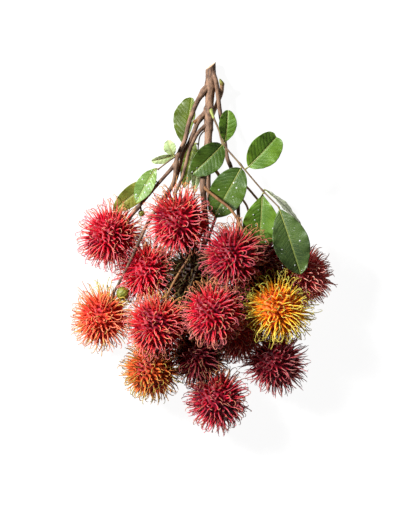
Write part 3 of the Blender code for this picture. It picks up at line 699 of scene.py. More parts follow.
def new_tree(name, inputs):
    """A Geometry Nodes tree with its geometry sockets and the named inputs, and its ends."""
    tree = bpy.data.node_groups.new(name, "GeometryNodeTree")
    tree.is_modifier = True
    tree.interface.new_socket("Geometry", in_out="INPUT", socket_type="NodeSocketGeometry")
    for label, kind in inputs.items():
        tree.interface.new_socket(label, in_out="INPUT", socket_type="NodeSocket" + kind)
    tree.interface.new_socket("Geometry", in_out="OUTPUT", socket_type="NodeSocketGeometry")
    start = tree.nodes.new("NodeGroupInput")
    end = tree.nodes.new("NodeGroupOutput")
    return tree, start.outputs, end.inputs


def end_tree(tree, geometry, material, end):
    """Every tree ends smooth-shaded, with its instances made real and its material set."""
    smooth = add_node(tree, "GeometryNodeSetShadeSmooth", {0: geometry})
    real = add_node(tree, "GeometryNodeRealizeInstances", {0: smooth.outputs[0]})
    finished = add_node(tree, "GeometryNodeSetMaterial", {
        "Geometry": real.outputs[0], "Material": material})
    tree.links.new(finished.outputs[0], end[0])
    return tree


def named_value(tree, name, kind="FLOAT"):
    return add_node(tree, "GeometryNodeInputNamedAttribute", {"Name": name},
                    data_type=kind).outputs[0]


def store_value(tree, geometry, name, value, kind="FLOAT"):
    return add_node(tree, "GeometryNodeStoreNamedAttribute", {
        "Geometry": geometry, "Name": name, "Value": value,
    }, data_type=kind, domain="POINT").outputs[0]


def bezier(tree, share, points):
    """A point on the Bezier curve of these control points."""
    while len(points) > 1:
        points = [blend_vectors(tree, share, a, b) for a, b in zip(points, points[1:])]
    return points[0]


def taper_curve(tree, share, points):
    """A drawn curve through the points, read at the share."""
    node = add_node(tree, "ShaderNodeFloatCurve", {"Value": share})
    drawn = node.mapping.curves[0].points
    drawn[0].location = points[0]
    drawn[1].location = points[-1]
    for x, y in points[1:-1]:
        drawn.new(x, y)
    node.mapping.update()
    return node.outputs[0]


def tube_along(tree, curve, radius, sides):
    """A closed tube along the curve. Each point keeps its place on the ring as 'ring'."""
    circle = add_node(tree, "GeometryNodeCurvePrimitiveCircle", {
        "Resolution": sides, "Radius": 1.0})
    place = add_node(tree, "GeometryNodeInputPosition").outputs[0]
    profile = store_value(tree, circle.outputs[0], "ring", place, "FLOAT_VECTOR")
    return add_node(tree, "GeometryNodeCurveToMesh", {
        "Curve": curve, "Profile Curve": profile, "Scale": radius, "Fill Caps": True}).outputs[0]


def spiny_rind_tree():
    """Grows a tapering, curled spine on each root point and joins the spines to the skin."""
    tree, start, end = new_tree("spiny_rind", {
        "Root Radius": "Float", "Stoutness": "Float", "Rings": "Int", "Sides": "Int",
        "Skin": "Material"})
    parts = add_node(tree, "GeometryNodeSeparateGeometry", {
        "Geometry": start["Geometry"], "Selection": named_value(tree, "is_root", "BOOLEAN"),
    }, domain="POINT")
    line = add_node(tree, "GeometryNodeCurvePrimitiveLine", {"End": (0.0, 0.0, MM)})
    line = add_node(tree, "GeometryNodeResampleCurve", {
        "Curve": line.outputs[0], "Count": start["Rings"]}, mode="COUNT")
    spots = add_node(tree, "GeometryNodeInstanceOnPoints", {
        "Points": parts.outputs["Selection"], "Instance": line.outputs[0]})
    spines = add_node(tree, "GeometryNodeRealizeInstances", {0: spots.outputs[0]}).outputs[0]
    share = add_node(tree, "GeometryNodeSplineParameter").outputs["Factor"]
    spines = store_value(tree, spines, "along", share)
    controls = [named_value(tree, label, "FLOAT_VECTOR") for label in CONTROL_LABELS]
    along = named_value(tree, "along")
    spines = add_node(tree, "GeometryNodeSetPosition", {
        "Geometry": spines, "Position": bezier(tree, along, controls)}).outputs[0]
    slender = taper_curve(tree, along, SLENDER_TAPER)
    stout = taper_curve(tree, along, STOUT_TAPER)
    slenderness = maths(tree, "SUBTRACT", 1.0, start["Stoutness"])
    width = plus(tree, times(tree, stout, start["Stoutness"]), times(tree, slender, slenderness))
    thickness = times(tree, start["Root Radius"], named_value(tree, "thick"))
    tube = tube_along(tree, spines, times(tree, width, thickness), start["Sides"])
    skin = store_value(tree, parts.outputs["Inverted"], "along", 0.0)
    join = tree.nodes.new("GeometryNodeJoinGeometry")
    for geometry in (skin, tube):
        tree.links.new(geometry, join.inputs[0])
    return end_tree(tree, join.outputs[0], start["Skin"], end)


def woody_stem_tree():
    """Turns a line of points with a thickness into a stem with uneven bark."""
    tree, start, end = new_tree("woody_stem", {
        "Ring Spacing": "Float", "Sides": "Int", "Knobble": "Float", "Seed": "Int",
        "Bark": "Material"})
    curve = add_node(tree, "GeometryNodeMeshToCurve", {"Mesh": start["Geometry"]})
    curve = add_node(tree, "GeometryNodeResampleCurve", {
        "Curve": curve.outputs[0], "Length": start["Ring Spacing"]}, mode="LENGTH")
    length = add_node(tree, "GeometryNodeSplineParameter").outputs["Length"]
    curve = store_value(tree, curve.outputs[0], "length", length)
    thickness = named_value(tree, "thickness")
    tube = tube_along(tree, curve, thickness, start["Sides"])
    place = add_node(tree, "GeometryNodeInputPosition").outputs[0]
    shift = add_node(tree, "ShaderNodeVectorMath", {0: place, 1: start["Seed"]},
                     operation="ADD").outputs[0]
    coarse, fine = (maths(tree, "SUBTRACT", noise_of(tree, shift, scale, detail), 0.5)
                    for scale, detail in ((210.0, 3.0), (900.0, 2.0)))
    uneven = plus(tree, coarse, times(tree, fine, 0.45))
    push = times(tree, times(tree, uneven, 2.0), times(tree, start["Knobble"], thickness))
    normal = add_node(tree, "GeometryNodeInputNormal").outputs[0]
    offset = add_node(tree, "ShaderNodeVectorMath", {0: normal, "Scale": push},
                      operation="SCALE")
    rough = add_node(tree, "GeometryNodeSetPosition", {
        "Geometry": tube, "Offset": offset.outputs[0]})
    return end_tree(tree, rough.outputs[0], start["Bark"], end)


def water_drops_tree():
    """Sets a low round drop on each point, lying along its 'facing' and as big as its 'size'."""
    tree, start, end = new_tree("water_drops", {"Height": "Float", "Water": "Material"})
    ball = add_node(tree, "GeometryNodeMeshIcoSphere", {"Radius": 1.0, "Subdivisions": 2})
    drop = add_node(tree, "GeometryNodeTransform", {
        "Geometry": ball.outputs[0], "Scale": combine(tree, 1.0, 1.0, start["Height"])})
    turn = add_node(tree, "FunctionNodeAlignRotationToVector", {
        "Vector": named_value(tree, "facing", "FLOAT_VECTOR")}, axis="Z")
    drops = add_node(tree, "GeometryNodeInstanceOnPoints", {
        "Points": start["Geometry"], "Instance": drop.outputs[0], "Rotation": turn.outputs[0],
        "Scale": named_value(tree, "size")})
    real = add_node(tree, "GeometryNodeRealizeInstances", {0: drops.outputs[0]})
    return end_tree(tree, real.outputs[0], start["Water"], end)


TREES = {"spiny_rind": spiny_rind_tree, "woody_stem": woody_stem_tree,
         "water_drops": water_drops_tree}


def grow(piece, name, values):
    """Runs a tree on the piece with these inputs and keeps the result as a plain mesh."""
    tree = bpy.data.node_groups.get(name) or TREES[name]()
    modifier = piece.modifiers.new(name, "NODES")
    modifier.node_group = tree
    for item in tree.interface.items_tree:
        if item.name in values and item.in_out == "INPUT":
            modifier[item.identifier] = values[item.name]
    view = bpy.context.evaluated_depsgraph_get()
    mesh = bpy.data.meshes.new_from_object(piece.evaluated_get(view))
    seedling = piece.data
    piece.modifiers.clear()
    piece.data = mesh
    bpy.data.meshes.remove(seedling)
    mesh.name = piece.name
    return piece


# Pieces

JITTER = 0.45  # how far a root is moved from its even place, over the mean gap between roots
BODY_SWELL = (0.05, 0.9)  # unevenness of a fruit's body: height over its radius, and size
STALK_DIMPLE = (3.5, 1.2)  # radius and depth of the dimple where the stalk enters


def new_piece(name, vertices, edges=(), faces=(), attributes=()):
    """A mesh piece in frame metres, with its point attributes as (name, kind, values)."""
    mesh = bpy.data.meshes.new(name)
    mesh.from_pydata(np.asarray(vertices, float).tolist(), list(edges), list(faces))
    for label, kind, values in attributes:
        layer = mesh.attributes.new(label, kind, "POINT")
        field = "vector" if kind == "FLOAT_VECTOR" else "value"
        layer.data.foreach_set(field, np.asarray(values).ravel())
    mesh.update()
    piece = bpy.data.objects.new(name, mesh)
    bpy.context.scene.collection.objects.link(piece)
    return piece


def settle(piece, slot, *nodes):
    """Fixes a finished piece to the bunch, in the place of its plain solids."""
    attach(piece, BODY)
    if nodes:
        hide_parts(*nodes)


def settings():
    return bpy.context.scene.rambutan_bunch


def sphere_points(subdivisions):
    """A ball's unit points and its faces."""
    bm = bmesh.new()
    bmesh.ops.create_icosphere(bm, subdivisions=subdivisions, radius=1.0)
    points = unit(np.array([vert.co for vert in bm.verts]))
    faces = [[vert.index for vert in face.verts] for face in bm.faces]
    bm.free()
    return points, faces


def spread_directions(count, rng):
    """Unit vectors spread evenly over a ball, each moved a little at random."""
    steps = np.arange(count) + 0.5
    height = 1 - 2 * steps / count
    turn = steps * math.pi * (3 - math.sqrt(5))
    ring = np.sqrt(1 - height ** 2)
    even = np.column_stack((ring * np.cos(turn), ring * np.sin(turn), height))
    return unit(even + rng.normal(0, JITTER / math.sqrt(count), (count, 3)))


def lumps(points, size, seed):
    """Slow noise between about -0.5 and 0.5 at each point."""
    offset = Vector((seed * 7.3, seed * 3.1, seed * 1.7))
    return np.array([noise.noise(Vector(point) / size + offset) for point in points])


def bumpy_body(centre, axis, radius, stretch, roots, mound, mound_width, seed, fineness=6):
    """An ovoid with a mound at each root direction.

    Returns its table places, their directions, its faces and how deep each place lies between
    the mounds, from 0 to 1.
    """
    points, faces = sphere_points(fineness)
    gap = 2 - 2 * points @ roots.T
    height = np.exp(-gap * (radius / mound_width) ** 2).max(axis=1) * mound
    dimple_radius, dimple_depth = STALK_DIMPLE
    dimple = np.exp(-((1 - points[:, 2]) * 2) * (radius / dimple_radius) ** 2) * dimple_depth
    swell_height, swell_size = BODY_SWELL
    swell = radius * swell_height * lumps(points, swell_size, seed)
    shape = points * (radius + swell - mound * 0.5 + height - dimple)[:, None]
    shape[:, 2] *= stretch
    return shape @ frame_of(axis) + np.array(centre), points, faces, 1 - height / mound


# Fruits

# The most curl that a fruit's spines have; 1 on the fruits that aren't listed.
CURL = {"fruit_01": 0.75, "fruit_05": 0.6, "fruit_09": 0.1, "fruit_10": 0.5, "fruit_11": 0.6,
        "fruit_12": 0.15}
STRAIGHTEST = 0.06  # least curl of a spine: 0 is straight, 1 curls over
CURL_POWER = 0.6  # under 1, more of the spines curl near the most
SWAY = 0.09  # how far a spine sways before it curls, as a share of its length
LENGTHS = (0.74, 1.06)  # shortest and longest spine, as shares of the fruit's reach
STALK_GROWTH = 0.30  # how much longer the spines are at the stalk end
TUFT_SIZE = 0.7  # size on the unit ball of the tufts whose spines curl the same way
TUFT_PULL = 1.5  # how strongly a tuft turns its spines
STALK_PUSH = 0.4  # how strongly the spines curl away from the stalk
THICKNESSES = (0.82, 1.18)  # thinnest and thickest spine, as shares of the root radius
MOUND_WIDTH = 2.0  # width of the mound that each spine grows from

# Shape of a spine by its control points, in shares of its length: how far out, how far to the side
# that it curls to, and how much of its sway. One row is for a straight spine, one for a curled one.
STRAIGHT_SPINE = ((0.24, 0.02, 0.6), (0.48, 0.04, 1.1), (0.72, 0.12, 1.2), (0.88, 0.24, 1.0),
                  (0.94, 0.36, 0.8))
HOOKED_SPINE = ((0.32, 0.00, 0.6), (0.76, -0.06, 1.1), (1.20, 0.10, 1.2), (1.08, 0.66, 1.0),
                (0.60, 0.40, 0.8))
CONTROL_LABELS = [f"control_{i}" for i in range(len(STRAIGHT_SPINE) + 1)]
ROOT_DEPTH = 0.6  # how deep a spine starts under the skin
FLOOR_GAP = 0.6  # least height of a spine over the floor

# Thickness of a spine from its root to its tip, as a share of the root's: share along, thickness.
SLENDER_TAPER = ((0.0, 1.0), (0.08, 0.72), (0.20, 0.45), (0.31, 0.30), (0.44, 0.24),
                 (0.68, 0.21), (0.90, 0.15), (1.0, 0.04))
STOUT_TAPER = ((0.0, 1.0), (0.08, 0.72), (0.20, 0.50), (0.40, 0.36), (0.70, 0.22), (0.90, 0.12),
               (1.0, 0.03))
# Which taper a fruit's spines have: 0 is the slender one, 1 the stout one.
STOUT = {"fruit_01": 0.15, "fruit_05": 0.15, "fruit_08": 0.25, "fruit_09": 0.6, "fruit_10": 0.25,
         "fruit_11": 0.35, "fruit_12": 0.6}

# A spine that meets something is tried again at these shares of its length, and then cut short.
SPINE_TRIES = (1.0, 1.0, 0.95, 0.9, 0.85, 0.75, 0.65, 0.5, 0.35)
STUNTED = 0.22
SPINE_CHECKS = np.linspace(0.2, 1.0, 7)  # shares along a spine where clearances are tested
CLEAR_OF_FRUIT = (1.05, 0.5)  # share of a fruit's radius that is kept clear, and what is added
CLEAR_OF_STEM = 0.3  # least gap between a spine and a stem
CLEAR_OF_LEAF = 0.5  # how far beyond its tip a spine has to be clear of a leaflet
STEM_RANGE = 48  # stems further from the middle of a fruit than this can't meet its spines
BARE_STALK = 0.975  # height on the unit ball above which no spine grows


def spine_controls(roots, outward, side, sway, length, hook):
    """Control points of each spine: out of the skin with a sway, then hooked to its side."""
    hook = hook[:, None]
    controls = [roots - outward * ROOT_DEPTH]
    for straight, hooked in zip(STRAIGHT_SPINE, HOOKED_SPINE):
        shape = (1 - hook) * np.array(straight) + hook * np.array(hooked)
        out, aside, swayed = shape.T[:, :, None]
        controls.append(roots + (outward * out + side * aside + sway * swayed) * length[:, None])
    controls = np.stack(controls, axis=1)
    controls[:, 1:, 2] = np.maximum(controls[:, 1:, 2], FLOOR_GAP)
    return controls


def along_spines(controls):
    """Points of each spine at SPINE_CHECKS."""
    t = SPINE_CHECKS
    last = controls.shape[1] - 1
    weights = np.stack([math.comb(last, k) * (1 - t) ** (last - k) * t ** k
                        for k in range(last + 1)])
    return np.einsum("kt,nkd->ntd", weights, controls)


def blocked(places, name, stem_places, stem_radii, leaf_tree):
    """True for each spine that meets another fruit, a stem or a leaf."""
    hit = np.zeros(len(places), bool)
    share, extra = CLEAR_OF_FRUIT
    for other, (centre, _, radius, *_) in FRUITS.items():
        if other != name:
            hit |= (gaps(places, centre) < radius * share + extra).any(axis=1)
    near = gaps(stem_places, FRUITS[name][0]) < STEM_RANGE
    if near.any():
        apart = gaps(places[:, :, None], stem_places[near][None, None])
        hit |= (apart < stem_radii[near] + CLEAR_OF_STEM).any(axis=(1, 2))
    for index in np.flatnonzero(~hit):
        for start, end in zip(places[index], places[index][1:]):
            way = Vector(end - start)
            if leaf_tree.ray_cast(Vector(start), way.normalized(), way.length + CLEAR_OF_LEAF)[0]:
                hit[index] = True
                break
    return hit


def plan_spines(name, rng, obstacles, count):
    """The direction and the control points of every spine on a fruit."""
    centre, axis, radius, reach, _, _ = FRUITS[name]
    axes = frame_of(axis)
    local = spread_directions(count, rng)
    local = local[local[:, 2] < BARE_STALK]
    roots = (local * (1, 1, FRUIT_STRETCH) * radius) @ axes + np.array(centre)
    outward = unit(local / (1, 1, FRUIT_STRETCH)) @ axes
    away = unit(outward * outward.dot(axes[2])[:, None] - axes[2] + 1e-6)
    growth = 1.0 + STALK_GROWTH * np.clip(local[:, 2], 0, 1)
    length = reach * growth * rng.uniform(*LENGTHS, len(local))
    first_seed = int(name[-2:]) + 1
    tuft = np.column_stack([lumps(local, TUFT_SIZE, first_seed + i) for i in range(3)])
    controls = np.zeros((len(local), len(CONTROL_LABELS), 3))
    pending = np.arange(len(local))
    for share in SPINE_TRIES:
        spin = rng.normal(0, 1, (len(pending), 3))
        side = unit(spin - outward[pending] * (spin * outward[pending]).sum(1)[:, None])
        side = unit(side + tuft[pending] * TUFT_PULL + away[pending] * STALK_PUSH)
        hook = STRAIGHTEST + CURL.get(name, 1.0) * rng.random(len(pending)) ** CURL_POWER
        sway = rng.normal(0, SWAY, (len(pending), 3))
        trial = spine_controls(roots[pending], outward[pending], side, sway,
                               length[pending] * share, hook)
        controls[pending] = trial
        pending = pending[blocked(along_spines(trial), name, *obstacles)]
    still = np.zeros((len(pending), 3))
    controls[pending] = spine_controls(roots[pending], outward[pending], still, still,
                                       length[pending] * STUNTED, still[:, 0])
    return local, controls


def grow_fruit(name, rng, obstacles, material):
    """One rind: a bumpy skin and its spines, grown as one piece."""
    sizes = settings().fruits
    centre, axis, radius, _, slot, _ = FRUITS[name]
    local, controls = plan_spines(name, rng, obstacles, sizes.spine_count)
    skin, directions, faces, crevice = bumpy_body(centre, axis, radius, FRUIT_STRETCH, local,
                                                  sizes.mound / MM, MOUND_WIDTH, int(name[-2:]))
    on_skin, on_spine = np.zeros(len(skin)), np.zeros(len(local))
    stalkward = (np.concatenate((directions[:, 2], local[:, 2])) + 1) / 2
    controls = bunch_place(controls)
    attributes = [
        ("is_root", "BOOLEAN", np.concatenate((on_skin, on_spine + 1)).astype(bool)),
        ("stalkward", "FLOAT", stalkward),
        ("variation", "FLOAT", np.concatenate((on_skin, rng.random(len(local))))),
        ("crevice", "FLOAT", np.concatenate((crevice, on_spine))),
        ("thick", "FLOAT", np.concatenate((on_skin + 1, rng.uniform(*THICKNESSES, len(local))))),
    ]
    attributes += [(label, "FLOAT_VECTOR", np.vstack((np.zeros_like(skin), controls[:, i])))
                   for i, label in enumerate(CONTROL_LABELS)]
    rind = new_piece(name + "_rind", np.vstack((bunch_place(skin), controls[:, 0])), faces=faces,
                     attributes=attributes)
    grow(rind, "spiny_rind", {
        "Root Radius": sizes.root_radius, "Stoutness": STOUT.get(name, 0.0),
        "Rings": sizes.rings, "Sides": sizes.sides, "Skin": material})
    for label in ("is_root", "thick", "ring", *CONTROL_LABELS):
        layer = rind.data.attributes.get(label)
        if layer:
            rind.data.attributes.remove(layer)
    settle(rind, slot, name)


# Stems

SLANT = 0.8  # how far back along its parent a stem starts, over the parent's radius
STEM_STEP = 0.8  # distance between points along a stem's route
GUARD_STEP = 1.6  # the same, where spines are only kept clear of the stems
GUARD_FLARE = 0.55  # flare that the spines are kept clear of
STALK_REACH = (6.0, -2.2)  # how far outside a fruit's skin its stalk straightens, and ends
JOINT_SWELLING = (0.16, 2.2)  # how much a parent swells at a joint, and how far, over the radius
SCAR_OFFSETS = (-2.4, 0.0, 2.4)  # where the rings of a scar lie along the stem
SCAR_SWELLING = (0.09, 0.7)  # how much a ring swells, and its width
CUT_RIM = 0.6 * MM  # width of the rim of bark round the cut
CUT_SINK = 0.1 * MM  # how far the cut wood lies below the rim


def smooth_route(points, step):
    """Points about one step apart on a Catmull-Rom curve through the given ones."""
    points = [np.array(p, float) for p in points]
    knots = [2 * points[0] - points[1], *points, 2 * points[-1] - points[-2]]
    route = []
    for before, start, end, after in zip(knots, knots[1:], knots[2:], knots[3:]):
        count = max(1, round(np.linalg.norm(end - start) / step))
        for i in range(count):
            t = i / count
            a = 2 * start
            b = end - before
            c = 2 * before - 5 * start + 4 * end - after
            d = -before + 3 * start - 3 * end + after
            route.append(0.5 * (a + b * t + c * t * t + d * t ** 3))
    route.append(points[-1])
    return np.array(route)


def stalk_end(fruit, beyond):
    """The point on the fruit's axis at its stalk end, this far outside the skin."""
    centre, axis, radius = FRUITS[fruit][:3]
    return np.array(centre) + unit(axis) * (radius * FRUIT_STRETCH + beyond)


def lengths_along(route):
    steps = np.linalg.norm(np.diff(route, axis=0), axis=1)
    return np.concatenate(((0.0,), np.cumsum(steps)))


def bulge(distance, growth, width):
    """What a radius is multiplied by at this distance from a swollen place."""
    return 1 + growth * np.exp(-(distance / width) ** 2)


def stem_routes(step=STEM_STEP, flare=GUARD_FLARE):
    """The route and radii of each stem in table millimetres. A stem starts inside its parent."""
    routes = {}
    joints = []
    for name, (parent, first, last, _, fruit, points) in STEMS.items():
        points = list(points)
        if parent:
            parent_route, parent_radii = routes[parent]
            nearest = gaps(parent_route, points[0]).argmin()
            depth = parent_radii[nearest]
            onward = parent_route[min(nearest + 1, len(parent_route) - 1)] - parent_route[nearest]
            way = np.sign(np.dot(onward, np.array(points[1]) - parent_route[nearest]))
            start = int(nearest - way * round(SLANT * depth / step))
            points[0] = tuple(parent_route[np.clip(start, 0, len(parent_route) - 1)])
        if fruit:
            points += [stalk_end(fruit, beyond) for beyond in STALK_REACH]
        route = smooth_route(points, step)
        distance = lengths_along(route)
        radii = first + (last - first) * distance / distance[-1]
        if parent:
            buried = depth * math.hypot(1, SLANT)
            radii *= 1 + flare * np.exp(-np.maximum(distance - buried, 0) / (first * 1.6))
            joints.append((parent, parent_route[nearest], first))
        routes[name] = [route, radii]
    growth, width = JOINT_SWELLING
    for parent, place, radius in joints:
        route, radii = routes[parent]
        radii *= bulge(gaps(route, place), growth, radius * width)
    for name, rows in SWELLINGS.items():
        route, radii = routes[name]
        for place, *swelling in rows:
            radii *= bulge(gaps(route, place), *swelling)
    for name, places in RING_SCARS.items():
        route, radii = routes[name]
        distance = lengths_along(route)
        for place in places:
            middle = distance[gaps(route, place).argmin()]
            for offset in SCAR_OFFSETS:
                radii *= bulge(distance - middle - offset, *SCAR_SWELLING)
    return routes


def grow_wood(name, route, radii, values, attributes=()):
    """A stem-like piece along a route in table millimetres."""
    sizes = settings().stems
    piece = new_piece(name, bunch_place(route), edges=[(i, i + 1) for i in range(len(route) - 1)],
                      attributes=[("thickness", "FLOAT", radii * MM), *attributes])
    return grow(piece, "woody_stem", {
        "Ring Spacing": sizes.ring_spacing, "Sides": sizes.sides, "Knobble": sizes.knobble,
        "Seed": sizes.seed, **values})


def grow_stem(name, route, radii, number, materials):
    slot = STEMS[name][3]
    stem = grow_wood(name + "_wood", route, radii, {
        "Seed": settings().stems.seed + number, "Bark": materials[STEM_LOOKS.get(name, slot)]})
    if name == "main_stem":
        cut_slanted(stem)
    settle(stem, slot, name)


def grow_short(name, route, radii, sides, slot, material):
    """A short woody piece that stands for no solid of its own."""
    settle(grow_wood(name, route, radii, {"Sides": sides, "Bark": material}), slot)


def cut_slanted(stem):
    """Cuts the thick end off on a slant and gives the cut its own pale wood."""
    bm = bmesh.new()
    bm.from_mesh(stem.data)
    bmesh.ops.remove_doubles(bm, verts=bm.verts, dist=0.00001)
    place, normal = STEM_CUT
    everything = [*bm.verts, *bm.edges, *bm.faces]
    cut = bmesh.ops.bisect_plane(bm, geom=everything, plane_co=Vector(bunch_place(place)),
                                 plane_no=normal, clear_outer=True)
    rim = [part for part in cut["geom_cut"] if isinstance(part, bmesh.types.BMEdge)]
    face = bmesh.ops.contextual_create(bm, geom=rim)["faces"][0]
    bmesh.ops.recalc_face_normals(bm, faces=bm.faces)
    bmesh.ops.inset_region(bm, faces=[face], thickness=CUT_RIM, depth=-CUT_SINK)
    face.material_index = 1
    face.smooth = False
    bm.to_mesh(stem.data)
    bm.free()
    stem.data.materials.append(cut_wood_material())


# Leaves

LEAST_WIDTH = 0.35  # half the width of a blade where it runs out at its base
VEIN_SLANT = (0.42, 0.028)  # how far forward a side vein runs over its way out: evenly, and more
WAVE = (0.032, 2.3)  # slow waves of the edge: height over the width, and how many along a blade
RIPPLE = (0.016, 6.5)  # the same for the quick waves at the very edge
MIDRIB_GROOVE = (-0.35, 0.9)  # depth and width of the groove along the midrib
CAGE = (14, 9)  # rows and columns of the coarse blades that the spines are kept off
PLAIN = (5.0, 0.0)  # vein spacing and quilting where only the run of a blade counts
RIB = (0.20, 0.42, 0.40, 4.5)  # a midrib's least radius, its taper, its foot, the foot's length
RIB_STEP = 1.5  # distance between points along a midrib's route
DROP_BAND = (0.12, 0.88)  # shares of the way across a blade that drops lie between
DROP_SIZES = (0.35, 1.0)  # smallest and largest drop; DROP_POWER makes most of them small
DROP_POWER = 1.5
DROP_HEIGHT = 0.55  # height of a drop over its radius


def half_width(u, width, ends):
    """Half the blade's width at a share u of its length. It is widest nearer its blunter end."""
    shifted = np.clip(u, 0, 1) ** (1 + 0.6 * (ends[0] - ends[1]))
    narrowing = np.sin(np.pi * shifted) ** (ends[0] * (1 - u) + ends[1] * u)
    return np.maximum(LEAST_WIDTH, width / 2 * narrowing)


def leaf_shape(name, rows, columns, spacing, quilting):
    """Table places of a blade as rows of points, and their along, across and vein numbers.

    A vein number is whole on the side veins, which leave the midrib at a slant and curve forward.
    """
    base, tip, width, facing, arch, fold, ends, _ = LEAVES[name]
    base, tip = np.array(base), np.array(tip)
    way = tip - base
    length = np.linalg.norm(way)
    side = unit(np.cross(facing, way))
    up = unit(np.cross(way, side))
    u = ((1 - np.cos(np.pi * np.linspace(0, 1, rows))) / 2)[:, None]
    v = np.linspace(-1, 1, columns)[None, :]
    half = half_width(np.minimum(u, 0.994), width, ends)
    across = half * v * np.where(v < 0, RIGHT_HALF.get(name, 1.0), 1.0)
    away = np.abs(across)
    seed = sum(map(ord, name))
    slow = np.sin(2 * np.pi * (u * WAVE[1] + 0.13 * (seed % 7)))
    fast = np.sin(2 * np.pi * (u * RIPPLE[1] + 0.21 * (seed % 5) + v * 0.3))
    wave = WAVE[0] * width * slow * v ** 2 * np.sign(v)
    ripple = RIPPLE[0] * width * fast * v ** 4
    order = (u * length - away * VEIN_SLANT[0] - away ** 2 * VEIN_SLANT[1]) / spacing
    inside = np.clip((1 - np.abs(v)) * 5, 0, 1) * np.clip(away / 1.2, 0, 1)
    puff = quilting * (np.abs(np.sin(np.pi * order)) ** 0.7 - 0.4) * inside
    groove = MIDRIB_GROOVE[0] * np.exp(-(across / MIDRIB_GROOVE[1]) ** 2)
    lift = arch * np.sin(np.pi * u) + away * fold + wave + ripple + puff + groove
    forward = u * length
    if name in NOTCHED:
        forward = forward - NOTCH_DEPTH * u ** 14 * np.exp(-(v / 0.6) ** 2)
    places = (base + way / length * forward[..., None] + side * across[..., None]
              + up * lift[..., None])
    return places, np.broadcast_to(u * length, across.shape), across, order


def grid_faces(rows, columns):
    corners = (row * columns + column for row in range(rows - 1) for column in range(columns - 1))
    return [(i, i + columns, i + columns + 1, i + 1) for i in corners]


def leaf_guard():
    """Coarse blades in table millimetres, for keeping the spines off the leaflets."""
    points, faces = [], []
    for name in LEAVES:
        faces += [[index + len(points) for index in face] for face in grid_faces(*CAGE)]
        points += [Vector(point) for point in leaf_shape(name, *CAGE, *PLAIN)[0].reshape(-1, 3)]
    return BVHTree.FromPolygons(points, faces)


def nearest_route(routes, place):
    """The route of the stem that comes nearest to the place."""
    return min((route for route, _ in routes.values()), key=lambda route: gaps(route, place).min())


def leaf_rib(name, routes):
    """The route of a leaf's foot and midrib: out of the nearest stem and along the blade."""
    midrib = leaf_shape(name, 15, 3, *PLAIN)[0][:, 1]
    route = nearest_route(routes, midrib[0])
    start = route[gaps(route, midrib[0]).argmin()]
    ribs = smooth_route([start, *midrib[:-1]], RIB_STEP)
    distance = lengths_along(ribs)
    least, taper, foot_growth, foot_length = RIB
    foot = np.exp(-distance / foot_length)
    radii = least + taper * (1 - distance / distance[-1]) ** 1.4 + foot_growth * foot
    return ribs, radii, foot


def grow_leaf(name, routes, materials, rib_material):
    sizes = settings().leaves
    places, along, across, order = leaf_shape(
        name, sizes.rows, sizes.columns, sizes.vein_spacing / MM, sizes.quilting / MM)
    blade_place = np.stack((across * MM, along * MM, np.zeros_like(across)), axis=-1)
    look = LEAVES[name][-1]
    leaf = new_piece(name + "_blade", bunch_place(places.reshape(-1, 3)),
                     faces=grid_faces(sizes.rows, sizes.columns),
                     attributes=[("blade", "FLOAT_VECTOR", blade_place.reshape(-1, 3)),
                                 ("vein_order", "FLOAT", order.ravel())])
    leaf.data.shade_smooth()
    for side in (look, look + "_underside"):
        leaf.data.materials.append(materials[side])
    shell = leaf.modifiers.new("thickness", "SOLIDIFY")
    shell.thickness = sizes.thickness
    shell.offset = -1.0
    shell.material_offset = 1
    shell.material_offset_rim = 0
    settle(leaf, "leaf", name)
    ribs, radii, foot = leaf_rib(name, routes)
    rib = grow_wood(name + "_midrib", ribs, radii, {
        "Ring Spacing": 1.0 * MM, "Sides": 8, "Knobble": 0.1, "Bark": rib_material,
    }, [("foot", "FLOAT", foot)])
    settle(rib, "leaf")
    return places


def add_drops(name, places, water):
    """Water drops on the upper side of a blade."""
    count, lowest, highest = DROPS[name]
    rng = np.random.default_rng(sum(map(ord, name)))
    rows, columns = places.shape[:2]
    row = rng.uniform(lowest, highest, count) * (rows - 2)
    column = rng.uniform(*DROP_BAND, count) * (columns - 2)
    row, column = row.astype(int), column.astype(int)
    seats = places[row, column]
    facing = unit(np.cross(places[row, column + 1] - seats, places[row + 1, column] - seats))
    facing *= np.sign(facing[:, 2:])
    sizes = rng.uniform(*DROP_SIZES, count) ** DROP_POWER
    drops = new_piece(name + "_drops", bunch_place(seats), attributes=[
        ("facing", "FLOAT_VECTOR", facing), ("size", "FLOAT", sizes * MM)])
    grow(drops, "water_drops", {"Height": DROP_HEIGHT, "Water": water})
    settle(drops, "leaf")


# Small fruits and the bud

NUB_AXIS = (0.3, 0.9, 0.2)
NUB_STRETCH = 1.06
NUB_MOUNDS = (0.45, 0.8)  # height and width of the mounds on a small fruit
MOUNDS_PER_MM = 14  # mounds on a small fruit, over its radius
NUB_SEED = 3
NUB_STALK = (1.1, 0.9)  # radius of a small fruit's stalk at both ends
FOOT_BEND = (0.0, 1.2, 0.6)  # how far the middle of a small fruit's stalk bends aside
BUD_WIDTH = (1.72, 1.15)  # width at the foot over the bud's radius, and what it loses to the tip


def add_skin(name, skin, faces, material, attributes=()):
    piece = new_piece(name + "_skin", bunch_place(skin), faces=faces, attributes=attributes)
    piece.data.shade_smooth()
    piece.data.materials.append(material)
    settle(piece, "green_nub", name)


